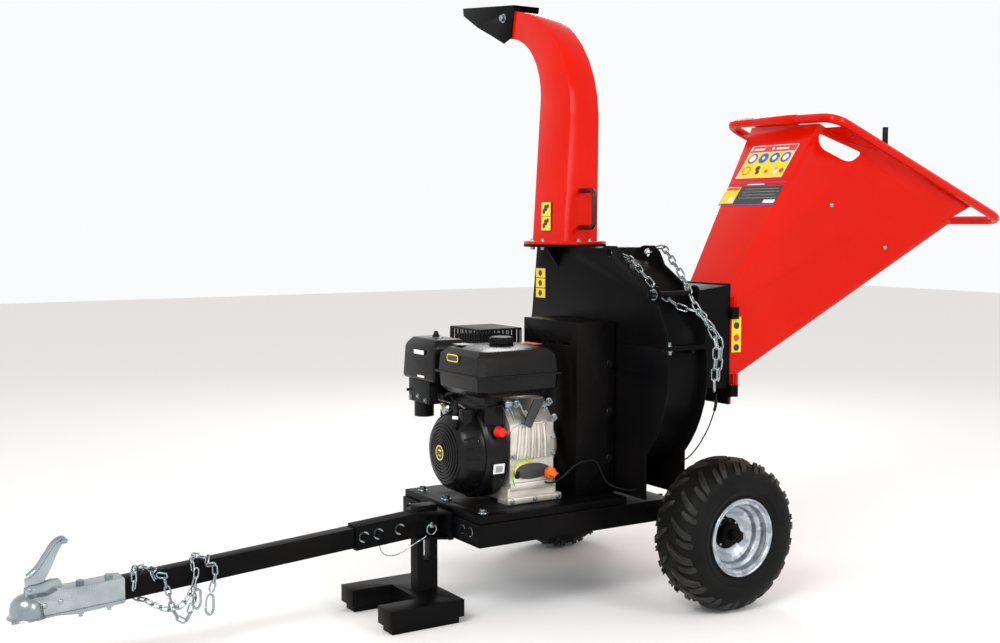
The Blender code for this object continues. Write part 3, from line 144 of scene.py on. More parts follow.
def make_studio_walls():
    """White all round, with a dimmer, warmer ceiling."""
    world = bpy.data.worlds.new("studio")
    world.use_nodes = True
    nodes, links = world.node_tree.nodes, world.node_tree.links
    background = nodes["Background"]
    background.inputs["Strength"].default_value = 1.0
    split = nodes.new("ShaderNodeSeparateXYZ")
    links.new(nodes.new("ShaderNodeTexCoord").outputs["Generated"], split.inputs["Vector"])
    ramp = nodes.new("ShaderNodeValToRGB")
    low, high = ramp.color_ramp.elements
    low.position, low.color = 0.4, (0.96, 0.965, 0.975, 1)
    high.position, high.color = 0.8, (0.74, 0.69, 0.63, 1)
    links.new(split.outputs["Z"], ramp.inputs["Fac"])
    links.new(ramp.outputs["Color"], background.inputs["Color"])
    bpy.context.scene.world = world


# ---------------------------------------------------------------- materials
def flat_material(name, colour, roughness, metallic=0.0, specular=0.5):
    made = bpy.data.materials.new(name)
    made.use_nodes = True
    shader = made.node_tree.nodes["Principled BSDF"]
    shader.inputs["Base Color"].default_value = (*colour, 1)
    shader.inputs["Roughness"].default_value = roughness
    shader.inputs["Metallic"].default_value = metallic
    shader.inputs["Specular IOR Level"].default_value = specular
    return made


GRAIN_DEPTH = 0.0004


def surface(
    name,
    colour,
    second,
    roughness,
    metallic=0.0,
    patch=9.0,
    grain=420.0,
    bump=0.12,
    cells=False,
    specular=0.5,
):
    """A surface whose colour and gloss vary in patches, with a fine grain for its bump."""
    made = flat_material(name, colour, sum(roughness) / 2, metallic, specular)
    nodes, links = made.node_tree.nodes, made.node_tree.links
    shader = nodes["Principled BSDF"]
    place = nodes.new("ShaderNodeTexCoord").outputs["Object"]

    def noise(scale, detail):
        texture = nodes.new("ShaderNodeTexNoise")
        texture.inputs["Scale"].default_value = scale
        texture.inputs["Detail"].default_value = detail
        links.new(place, texture.inputs["Vector"])
        return texture.outputs["Fac"]

    if cells:
        texture = nodes.new("ShaderNodeTexVoronoi")
        texture.inputs["Scale"].default_value = patch
        links.new(place, texture.inputs["Vector"])
        to_value = nodes.new("ShaderNodeSeparateColor")
        links.new(texture.outputs["Color"], to_value.inputs["Color"])
        patches = to_value.outputs["Red"]
    else:
        patches = noise(patch, 4.0)
    ramp = nodes.new("ShaderNodeValToRGB")
    ramp.color_ramp.elements[0].position = 0.35
    ramp.color_ramp.elements[1].position = 0.68
    ramp.color_ramp.elements[0].color = (*colour, 1)
    ramp.color_ramp.elements[1].color = (*second, 1)
    links.new(patches, ramp.inputs["Fac"])
    links.new(ramp.outputs["Color"], shader.inputs["Base Color"])
    spread = nodes.new("ShaderNodeMapRange")
    spread.inputs["To Min"].default_value = roughness[0]
    spread.inputs["To Max"].default_value = roughness[1]
    links.new(noise(patch * 3.1, 5.0), spread.inputs["Value"])
    links.new(spread.outputs["Result"], shader.inputs["Roughness"])
    relief = nodes.new("ShaderNodeBump")
    relief.inputs["Strength"].default_value = bump
    relief.inputs["Distance"].default_value = GRAIN_DEPTH
    links.new(noise(grain, 2.0), relief.inputs["Height"])
    links.new(relief.outputs["Normal"], shader.inputs["Normal"])
    return made


BLACK = surface(
    "black_paint", (0.0016, 0.0016, 0.0021), (0.004, 0.0034, 0.0032), (0.36, 0.48), patch=5, specular=0.065,
)
RED = surface(
    "red_paint", (0.58, 0.0055, 0.0003), (0.64, 0.0085, 0.0006), (0.12, 0.2), patch=3, grain=260,
    specular=0.13,
)
ZINC = surface("zinc_plate", (0.27, 0.32, 0.35), (0.4, 0.45, 0.47), (0.2, 0.34), 1.0, patch=14, bump=0.12)
GALVANISED = surface(
    "galvanised_steel", (0.34, 0.38, 0.42), (0.52, 0.56, 0.61), (0.3, 0.46), 0.9, patch=60, cells=True,
)
STEEL = surface("bare_steel", (0.34, 0.34, 0.35), (0.44, 0.44, 0.44), (0.25, 0.42), 1.0, patch=20)
CAST = surface(
    "cast_aluminium", (0.62, 0.585, 0.53), (0.78, 0.74, 0.67), (0.36, 0.54), 0.75, patch=18, grain=600,
    bump=0.5,
)
TYRE = surface(
    "tyre_rubber", (0.0028, 0.0031, 0.0035), (0.0062, 0.0062, 0.006), (0.46, 0.66), patch=11, bump=0.35,
    specular=0.11,
)
RUBBER = surface(
    "black_rubber", (0.005, 0.005, 0.005), (0.009, 0.009, 0.009), (0.5, 0.7), patch=20, specular=0.2,
)
PLASTIC = surface(
    "black_plastic", (0.0045, 0.0045, 0.005), (0.008, 0.008, 0.009), (0.34, 0.48), grain=900, bump=0.4,
    specular=0.13,
)
SHROUD = surface(
    "glossy_black_cover", (0.0035, 0.0035, 0.0045), (0.006, 0.0055, 0.0055), (0.2, 0.34), grain=900,
    specular=0.18,
)
ORANGE = surface("orange_plastic", (0.85, 0.13, 0.004), (0.9, 0.17, 0.008), (0.35, 0.45), specular=0.3)
RED_PLASTIC = surface("red_plastic", (0.7, 0.01, 0.006), (0.78, 0.018, 0.01), (0.25, 0.35), specular=0.3)
HEAT_BLACK = surface(
    "heat_black", (0.008, 0.008, 0.008), (0.018, 0.015, 0.013), (0.5, 0.7), 0.3, patch=20, specular=0.2,
)
BROWN = surface("primer_brown", (0.22, 0.1, 0.055), (0.3, 0.14, 0.07), (0.45, 0.6))
TYRE_TREAD = surface(
    "tyre_tread", (0.006, 0.006, 0.0065), (0.015, 0.0135, 0.012), (0.4, 0.58), patch=14, bump=0.3,
    specular=0.3,
)
RED_HANDLE = surface("handle_red", (0.03, 0.003, 0.002), (0.05, 0.004, 0.003), (0.25, 0.35), patch=8)
DARK_CAST = surface(
    "dark_cast", (0.045, 0.046, 0.048), (0.075, 0.075, 0.075), (0.35, 0.5), 0.4, patch=18, grain=700,
)
BRASS = surface("brass", (0.62, 0.42, 0.14), (0.72, 0.52, 0.2), (0.25, 0.4), 1.0, patch=20)
ROPE = surface(
    "starter_rope_nylon", (0.1, 0.1, 0.1), (0.3, 0.3, 0.3), (0.6, 0.8), patch=900, grain=1800, bump=0.6,
)
GREEN_WIRE = surface("green_wire", (0.1, 0.45, 0.03), (0.55, 0.55, 0.03), (0.35, 0.45), patch=160)
YELLOW_WIRE = surface("yellow_wire", (0.75, 0.55, 0.02), (0.85, 0.65, 0.03), (0.35, 0.45), patch=120)


def printed(name, colour, second, roughness=(0.25, 0.35), patch=30):
    """The smooth face of a printed label."""
    return surface(name, colour, second, roughness, patch=patch, bump=0.05)


WHITE_LABEL = printed("white_label", (0.78, 0.78, 0.78), (0.86, 0.86, 0.86))
YELLOW_LABEL = printed("yellow_label", (0.83, 0.6, 0.01), (0.88, 0.66, 0.02))
RED_LABEL = printed("red_label", (0.62, 0.03, 0.02), (0.7, 0.04, 0.03))
BLUE_LABEL = printed("blue_label", (0.03, 0.1, 0.38), (0.04, 0.13, 0.45))
GREY_LABEL = printed("grey_label", (0.3, 0.31, 0.33), (0.4, 0.41, 0.43), patch=40)
DARK_LABEL = printed("dark_label", (0.02, 0.022, 0.028), (0.03, 0.032, 0.038), roughness=(0.22, 0.32))

# ---------------------------------------------------------------- shape helpers
DRAWBAR_H = 0.052
DRUM_Y, DRUM_Z = -0.02, 0.64  # the drum's axis
TANK_CAP_X, TANK_CAP_Y = -0.5, -0.06
BALL_X, LEVER_PIVOT_X = -1.716, -1.712
CASE_FACE_Y = -0.1125  # the crankcase's near face


def drawbar_z(x):
    """Height of the drawbar's underside."""
    return 0.2155 + 0.0712 * (x + 0.745)


def placed(name, mesh, finish, body="chassis", angle=35):
    """A piece drawn from the machine's origin, which moves with a body."""
    mesh.materials.clear()
    mesh.materials.append(finish)
    obj = bpy.data.objects.new(name, mesh)
    bpy.context.scene.collection.objects.link(obj)
    obj.location = ORIGIN
    mesh.shade_smooth()
    mesh.set_sharp_from_angle(angle=radians(angle))
    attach(obj, body)
    return obj


def evaluated_mesh(obj):
    bpy.context.view_layer.update()
    return bpy.data.meshes.new_from_object(obj.evaluated_get(bpy.context.evaluated_depsgraph_get()))


def with_modifier(mesh, kind, settings):
    """The mesh after one modifier."""
    obj = bpy.data.objects.new("working", mesh)
    bpy.context.scene.collection.objects.link(obj)
    modifier = obj.modifiers.new("step", kind)
    for key, value in settings.items():
        setattr(modifier, key, value)
    made = evaluated_mesh(obj)
    bpy.data.objects.remove(obj)
    bpy.data.meshes.remove(mesh)
    return made


def softened(mesh, width, segments=2, angle=30):
    """The mesh with its sharp edges rounded."""
    settings = {
        "width": width,
        "segments": segments,
        "limit_method": "ANGLE",
        "angle_limit": radians(angle),
        "use_clamp_overlap": True,
    }
    return with_modifier(mesh, "BEVEL", settings)


def without(mesh, *cutters):
    """The mesh with the cutters' volumes taken out."""
    for cutter in cutters:
        tool = bpy.data.objects.new("cutter", cutter)
        bpy.context.scene.collection.objects.link(tool)
        mesh = with_modifier(
            mesh, "BOOLEAN", {"operation": "DIFFERENCE", "solver": "EXACT", "object": tool},
        )
        bpy.data.objects.remove(tool)
        bpy.data.meshes.remove(cutter)
    return mesh


def mesh_from(bm):
    bmesh.ops.recalc_face_normals(bm, faces=bm.faces)
    mesh = bpy.data.meshes.new("shape")
    bm.to_mesh(mesh)
    bm.free()
    return mesh


def joined(*meshes):
    """Several meshes as one."""
    bm = bmesh.new()
    for mesh in meshes:
        bm.from_mesh(mesh)
        bpy.data.meshes.remove(mesh)
    made = bpy.data.meshes.new("joined")
    bm.to_mesh(made)
    bm.free()
    return made


def moved(mesh, matrix):
    mesh.transform(matrix)
    return mesh


def aim(direction, place=(0, 0, 0)):
    """The matrix that turns +Z to a direction and moves to a place."""
    turn = Vector(UP).rotation_difference(Vector(direction)).to_matrix().to_4x4()
    return Matrix.Translation(Vector(place)) @ turn


def block(low, high):
    bm = bmesh.new()
    bmesh.ops.create_cube(bm, size=1.0)
    low, high = Vector(low), Vector(high)
    bmesh.ops.scale(bm, vec=high - low, verts=bm.verts)
    bmesh.ops.translate(bm, vec=(low + high) / 2, verts=bm.verts)
    return mesh_from(bm)


def rounded(points, radius, steps=4, closed=True):
    """An outline with each corner turned on a curve of about that radius."""
    points = [Vector(p) for p in points]
    made = []
    for i, corner in enumerate(points):
        if not closed and i in (0, len(points) - 1):
            made.append(tuple(corner))
            continue
        before, after = points[i - 1], points[(i + 1) % len(points)]
        reach = min(radius, (before - corner).length * 0.45, (after - corner).length * 0.45)
        start = corner + (before - corner).normalized() * reach
        end = corner + (after - corner).normalized() * reach
        for k in range(steps + 1):
            t = k / steps
            made.append(tuple(start * (1 - t) ** 2 + corner * 2 * t * (1 - t) + end * t * t))
    return made


def smooth_path(points, steps=6, closed=False):
    """Points on a smooth curve through the given ones."""
    points = [Vector(p) for p in points]
    count = len(points)
    made = []
    for i in range(count if closed else count - 1):
        if closed:
            a, b, c, d = (points[(i + k) % count] for k in (-1, 0, 1, 2))
        else:
            a, b, c, d = (points[min(max(i + k, 0), count - 1)] for k in (-1, 0, 1, 2))
        for k in range(steps):
            t = k / steps
            made.append(
                (
                    2 * b + (c - a) * t + (2 * a - 5 * b + 4 * c - d) * t**2 + (3 * b - a - 3 * c + d) * t**3
                ) / 2
            )
    if not closed:
        made.append(points[-1])
    return made


def pipe(points, radius, sides=12, closed=False):
    """A round bar along points, with flat ends; radius is a number, or one for each point."""
    points = [Vector(p) for p in points]
    count = len(points)
    radii = radius if isinstance(radius, (list, tuple)) else [radius] * count
    bm = bmesh.new()
    rings = []
    side = None
    for i, point in enumerate(points):
        if closed:
            way = points[(i + 1) % count] - points[i - 1]
        else:
            way = points[min(i + 1, count - 1)] - points[max(i - 1, 0)]
        way.normalize()
        if side is None:
            side = way.orthogonal().normalized()
        side = (side - way * side.dot(way)).normalized()
        other = way.cross(side)
        turns = [2 * pi * k / sides for k in range(sides)]
        rings.append([bm.verts.new(point + (side * cos(a) + other * sin(a)) * radii[i]) for a in turns])
    for i in range(count if closed else count - 1):
        ring, after = rings[i], rings[(i + 1) % count]
        shift = 0
        if closed and i == count - 1:
            shift = min(range(sides), key=lambda k: (after[k].co - ring[0].co).length)
        for k in range(sides):
            others = (after[(k + 1 + shift) % sides], after[(k + shift) % sides])
            bm.faces.new((ring[k], ring[(k + 1) % sides], *others))
    if not closed:
        bm.faces.new(rings[0])
        bm.faces.new(rings[-1])
    return mesh_from(bm)


def lathe(profile, centre=(0, 0, 0), axis=UP, steps=48):
    """A closed profile of (radius, height) turned about an axis."""
    bm = bmesh.new()
    rings = []
    for radius, height in profile:
        if radius < 1e-6:
            rings.append([bm.verts.new((0, 0, height))])
            continue
        turns = [2 * pi * k / steps for k in range(steps)]
        rings.append([bm.verts.new((radius * cos(a), radius * sin(a), height)) for a in turns])
    for ring, after in zip(rings, rings[1:] + rings[:1]):
        for k in range(steps):
            n = (k + 1) % steps
            if len(ring) == 1 and len(after) == 1:
                break
            if len(ring) == 1:
                bm.faces.new((ring[0], after[n], after[k]))
            elif len(after) == 1:
                bm.faces.new((ring[k], ring[n], after[0]))
            else:
                bm.faces.new((ring[k], ring[n], after[n], after[k]))
    return moved(mesh_from(bm), aim(axis, centre))


AXES = {
    "X": Matrix(((0, 0, 1, 0), (1, 0, 0, 0), (0, 1, 0, 0), (0, 0, 0, 1))),
    "Y": Matrix(((1, 0, 0, 0), (0, 0, -1, 0), (0, 1, 0, 0), (0, 0, 0, 1))),
    "Z": Matrix.Identity(4),
}


def slab(outlines, span, axis):
    """A flat plate: closed outlines (the first may hold the others as holes), thick between two heights."""
    curve = bpy.data.curves.new("outline", "CURVE")
    curve.dimensions = "2D"
    curve.fill_mode = "BOTH"
    curve.extrude = abs(span[1] - span[0]) / 2
    for outline in outlines:
        spline = curve.splines.new("POLY")
        spline.points.add(len(outline) - 1)
        for point, (u, v) in zip(spline.points, outline):
            point.co = (u, v, 0, 1)
        spline.use_cyclic_u = True
    obj = bpy.data.objects.new("outline", curve)
    bpy.context.scene.collection.objects.link(obj)
    mesh = evaluated_mesh(obj)
    bpy.data.objects.remove(obj)
    bpy.data.curves.remove(curve)
    bm = bmesh.new()
    bm.from_mesh(mesh)
    bmesh.ops.remove_doubles(bm, verts=bm.verts, dist=1e-6)
    bm.to_mesh(mesh)
    bm.free()
    lift = sum(span) / 2 * (-1 if axis == "Y" else 1)
    return moved(mesh, AXES[axis] @ Matrix.Translation((0, 0, lift)))


def arc(centre, radius, start, end, count):
    """Points on an arc, in degrees, both ends included."""
    turns = [radians(start + (end - start) * i / (count - 1)) for i in range(count)]
    return [(centre[0] + radius * cos(a), centre[1] + radius * sin(a)) for a in turns]


def hex_bolt(place, direction, across, washer=True):
    """A hexagon head with a chamfered top, on a washer."""
    r = across / sqrt(3)
    base = 0.0014 if washer else 0.0
    head = lathe(
        [(0, 0), (r, 0), (r, across * 0.46), (r * 0.82, across * 0.56), (0, across * 0.56)], steps=6,
    )
    moved(head, Matrix.Translation((0, 0, base)) @ Matrix.Rotation(radians(17), 4, "Z"))
    parts = [head]
    if washer:
        rim = [(0, 0), (r * 1.32, 0), (r * 1.36, 0.0004), (r * 1.32, base), (0, base)]
        parts.append(lathe(rim, steps=28))
    return moved(joined(*parts), aim(direction, place))


def stud_nut(place, direction, across):
    """A nut on a washer with the bolt's end standing out of it."""
    thread = across * 0.29
    end = [(0, 0), (thread, 0), (thread, across * 0.95), (thread * 0.8, across * 1.05), (0, across * 1.05)]
    return joined(hex_bolt(place, direction, across), moved(lathe(end, steps=16), aim(direction, place)))


def dome_screw(place, direction, radius):
    profile = [(0, 0), (radius, 0)] + arc((0, radius * 0.12), radius * 0.98, 5, 88, 6)
    profile = [(r, h * 0.62) for r, h in profile] + [(0, radius * 0.66)]
    return moved(lathe(profile, steps=24), aim(direction, place))


def soft_block(low, high, width, segments=2):
    return softened(block(low, high), width, segments)


def wire(name, path, radius, finish, sides=10):
    """A cable, cord or bent rod of the chassis, smooth through the path's points."""
    return placed(name, pipe(smooth_path(path), radius, sides), finish, angle=60)


def sticker(name, corner, across, up, finish, lift, radius=0.002, body="chassis"):
    """A thin label on a flat face: its corner, its two sides, and how far it stands off the face."""
    corner, across, up = Vector(corner), Vector(across), Vector(up)
    normal = across.cross(up).normalized()
    u, v = across.normalized(), (up - across.normalized() * up.dot(across.normalized())).normalized()
    outline = [(0, 0), (across.length, 0), (across.length, up.dot(v)), (0, up.dot(v))]
    outline = rounded(outline, radius, 3)
    bm = bmesh.new()
    verts = [bm.verts.new(corner + u * x + v * y + normal * lift) for x, y in outline]
    top = bm.faces.new(verts)
    thick = bmesh.ops.extrude_face_region(bm, geom=[top])
    lower = [g for g in thick["geom"] if isinstance(g, bmesh.types.BMVert)]
    bmesh.ops.translate(bm, vec=-normal * min(lift, 0.0003), verts=lower)
    return placed(name, mesh_from(bm), finish, body)


def disc_sticker(name, centre, normal, radius, finish, lift, hole=0.0, body="chassis"):
    """A thin round label, or a ring where it has a hole."""
    profile = [(hole, 0), (radius, 0), (radius, 0.0002), (hole, 0.0002)]
    if hole == 0.0:
        profile = [(0, 0), (radius, 0), (radius, 0.0002), (0, 0.0002)]
    place = Vector(centre) + Vector(normal).normalized() * lift
    return placed(name, lathe(profile, place, normal, 28), finish, body)


def chain_mesh(path, wire, pitch, width, start_roll=0.0):
    """Oval links of round wire along a path, each turned a quarter from the last."""
    path = smooth_path(path, 8)
    run = [0.0]
    for a, b in zip(path, path[1:]):
        run.append(run[-1] + (b - a).length)
    count = int(run[-1] / pitch)
    half, bend = pitch / 2 + wire, width / 2 - wire
    loop = [
        (half - bend + bend * cos(a), bend * sin(a), 0)
        for a in (radians(d) for d in range(-90, 91, 30))
    ]
    loop += [(-x, -y, 0) for x, y, _ in loop]
    parts = []
    side = None
    for k in range(count):
        reach = (k + 0.5) * pitch
        i = max(j for j in range(len(run)) if run[j] <= reach)
        i = min(i, len(path) - 2)
        place = path[i].lerp(path[i + 1], (reach - run[i]) / max(run[i + 1] - run[i], 1e-9))
        way = (path[min(i + 2, len(path) - 1)] - path[max(i - 1, 0)]).normalized()
        if side is None:
            side = way.orthogonal().normalized()
        side = (side - way * side.dot(way)).normalized()
        turn = Matrix((way, side, way.cross(side))).transposed().to_4x4()
        roll = Matrix.Rotation(start_roll + (pi / 2 if k % 2 else 0.0), 4, "X")
        link = pipe(loop, wire, 8, closed=True)
        parts.append(moved(link, Matrix.Translation(place) @ turn @ roll))
    return joined(*parts)


def refine(node, finish, width=0.0012, segments=2, angle=30, cutters=()):
    """A copy of a CAD node with rounded edges stands for it; cutters take openings out of it first."""
    source = frame["nodes"][node]
    bm = bmesh.new()
    bm.from_mesh(source.data)
    bmesh.ops.remove_doubles(bm, verts=bm.verts, dist=0.00002)
    bmesh.ops.dissolve_limit(bm, angle_limit=radians(1), verts=bm.verts, edges=bm.edges)
    mesh = bpy.data.meshes.new(node + "_shape")
    bm.to_mesh(mesh)
    bm.free()
    mesh.transform(Matrix.Translation(-ORIGIN))
    if cutters:
        mesh = without(mesh, *cutters)
    made = placed(node + "_finished", softened(mesh, width, segments, angle), finish, source["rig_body"])
    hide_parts(node)
    return made


# ---------------------------------------------------------------- wheels
SIDES = (("near", -1), ("far", 1))
TYRE_R = 0.2048
VALVE_TURN = 2.2  # the valve's place round the rim, in radians
LUG_PAIRS = 17
CARCASS = [
    (0.1965, 0.0), (0.1963, 0.016), (0.195, 0.031), (0.1925, 0.044), (0.188, 0.055), (0.1815, 0.064),
    (0.1735, 0.0705), (0.164, 0.0745), (0.153, 0.0764), (0.14, 0.0766), (0.131, 0.0758), (0.13, 0.0768),
    (0.127, 0.0765), (0.126, 0.0748), (0.118, 0.0725), (0.111, 0.069), (0.1072, 0.0662), (0.09, 0.066),
]


def carcass_radius(y):
    for (r0, y0), (r1, y1) in zip(CARCASS, CARCASS[1:]):
        if y0 <= y <= y1:
            return r0 + (r1 - r0) * (y - y0) / (y1 - y0)
    return CARCASS[8][0]


def lug(side, angle, inner, outer, slant, wide):
    """One raised bar of the tread, from near the middle out to the shoulder, with a groove along its top."""
    bm = bmesh.new()
    rings = []
    count = 8
    for k in range(count):
        t = k / (count - 1)
        y = inner + (outer - inner) * t
        ground = carcass_radius(y)
        rise = 0.0085 * (1 - 0.45 * max(0.0, (y - 0.045) / 0.03) ** 2)
        rise *= 0.55 if k in (0, count - 1) else 1.0
        turn = angle + slant * (y / 0.07) ** 0.9
        half = wide * (0.85 + 0.3 * t) * (0.7 if k in (0, count - 1) else 1.0)
        groove = 0.0 if k in (0, 1, count - 2, count - 1) else 0.0022
        across = ((-1.25, -0.004), (-0.95, rise), (-0.5, rise), (-0.42, rise - groove))
        across += tuple((-u, r) for u, r in reversed(across))
        ring = []
        for u, lift in across:
            a = turn + u * half / ground
            r = min(ground + lift, TYRE_R)
            ring.append(bm.verts.new((r * cos(a), r * sin(a), side * y)))
        rings.append(ring)
    for ring, after in zip(rings, rings[1:]):
        for k in range(len(ring)):
            n = (k + 1) % len(ring)
            bm.faces.new((ring[k], ring[n], after[n], after[k]))
    bm.faces.new(rings[0])
    bm.faces.new(rings[-1])
    return mesh_from(bm)


def make_wheel(name, sign):
    centre = (0, sign * WHEEL_Y, AXLE_Z)
    body = "wheel_" + name
    half = CARCASS[1:]
    outside = [(r, -y) for r, y in reversed(half)] + CARCASS
    inside = [(0.09, 0.052), (0.14, 0.066), (0.172, 0.06), (0.186, 0.0)]
    inside = inside + [(r, -y) for r, y in reversed(inside[:-1])]
    carcass = lathe(outside + inside, centre, (0, sign, 0), 96)
    lugs = []
    step = pi / LUG_PAIRS
    for i in range(LUG_PAIRS):
        angle = 2 * pi * i / LUG_PAIRS
        for side in (-1, 1):
            shift = step if side > 0 else 0.0
            lugs.append(lug(side, angle + shift, 0.003, 0.0685, radians(15), 0.0085))
            lugs.append(lug(side, angle + shift + step * 1.02, 0.036, 0.0715, radians(11), 0.007))
    tread = moved(joined(*lugs), aim((0, sign, 0), centre))
    tyre = placed("tyre_carcass_" + name, carcass, TYRE, body, 50)
    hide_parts("tyre_" + name)
    placed("tyre_tread_" + name, tread, TYRE_TREAD, body, 30)
    rim = [
        (0.1045, 0.0718), (0.1038, 0.0728), (0.1015, 0.073), (0.099, 0.0712), (0.0975, 0.068),
        (0.0955, 0.0652), (0.0905, 0.064), (0.089, 0.0615), (0.0882, 0.052), (0.0868, 0.047),
        (0.0835, 0.044), (0.0795, 0.0415), (0.077, 0.038), (0.0755, 0.03), (0.0735, 0.0262), (0.069, 0.024),
        (0.064, 0.0225), (0.056, 0.015), (0.048, 0.0112), (0.0305, 0.01), (0.0305, 0.007), (0.066, 0.007),
        (0.068, -0.024), (0.086, -0.04), (0.086, -0.065), (0.101, -0.0715), (0.1045, -0.0715),
        (0.1045, -0.067), (0.0893, -0.0662), (0.0893, -0.035), (0.072, -0.024), (0.072, 0.023),
        (0.0893, 0.035), (0.0893, 0.0662), (0.1045, 0.067),
    ]
    made = placed("rim_pressing_" + name, lathe(rim, centre, (0, sign, 0), 96), GALVANISED, body, 28)
    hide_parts("rim_" + name)
    hub = [
        (0.0127, 0.038), (0.0165, 0.038), (0.0172, 0.0372), (0.0172, 0.033), (0.0285, 0.032),
        (0.0298, 0.0305), (0.0298, 0.0125), (0.042, 0.0118), (0.042, 0.0102), (0.03, 0.0102), (0.03, -0.03),
        (0.0127, -0.03),
    ]
    cap = placed("hub_turning_" + name, lathe(hub, centre, (0, sign, 0), 48), BLACK, body, 30)
    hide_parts("hub_" + name)
    out = Vector((cos(VALVE_TURN), 0, sin(VALVE_TURN)))
    valve_at = Vector((0, sign * (WHEEL_Y + 0.036), AXLE_Z)) + out * 0.078
    inwards = Vector((0, sign * 1.2, 0)) - out
    stem = [valve_at, valve_at + inwards.normalized() * 0.022]
    placed("tyre_valve_" + name, pipe(stem, [0.0042, 0.0034], 12), RUBBER, body)
    placed(
        "tyre_valve_cap_" + name, pipe([stem[1], stem[1] + inwards.normalized() * 0.009], 0.0036, 12),
        PLASTIC, body,
    )
    for k in range(4):
        a = radians(45 + 90 * k)
        place = (0.037 * cos(a), sign * (WHEEL_Y + 0.0118), AXLE_Z + 0.037 * sin(a))
        placed(f"hub_nut_{name}_{k}", hex_bolt(place, (0, sign, 0), 0.0065, False), ZINC, body)


# ---------------------------------------------------------------- chains and cables
LIFT_LINK = (0.0025, 0.029, 0.02)  # wire radius, pitch, width
SAFETY_LINK = (0.0022, 0.0205, 0.0165)
# Radii at which a link lies on the drum's band, and on the rim of its rear plate.
BAND_CLEAR, PLATE_CLEAR = 0.313, 0.349
BAND_END_X = -0.06


def over_bar(x, come_from):
    """Points over the drawbar's top at x, coming up from the near (-1) or far (1) side."""
    top = drawbar_z(x) + DRAWBAR_H
    half = 0.02
    rounded_edge = [(half + 0.0068, -0.008), (half + 0.006, 0.002), (half - 0.002, 0.0062)]
    rise = [(x - 0.008, come_from * y, top + z) for y, z in rounded_edge]
    fall = [(x + 0.008, -come_from * y, top + z) for y, z in reversed(rounded_edge)]
    return rise + fall


def off_drum(x, y, z):
    """The point, moved out from the drum's axis until a link clears its band or its rear plate."""
    clear = BAND_CLEAR if x < BAND_END_X else PLATE_CLEAR
    reach = hypot(y - DRUM_Y, z - DRUM_Z)
    if reach >= clear or y > -0.11 or z < 0.66:
        return (x, y, z)
    return (x, DRUM_Y + (y - DRUM_Y) * clear / reach, DRUM_Z + (z - DRUM_Z) * clear / reach)


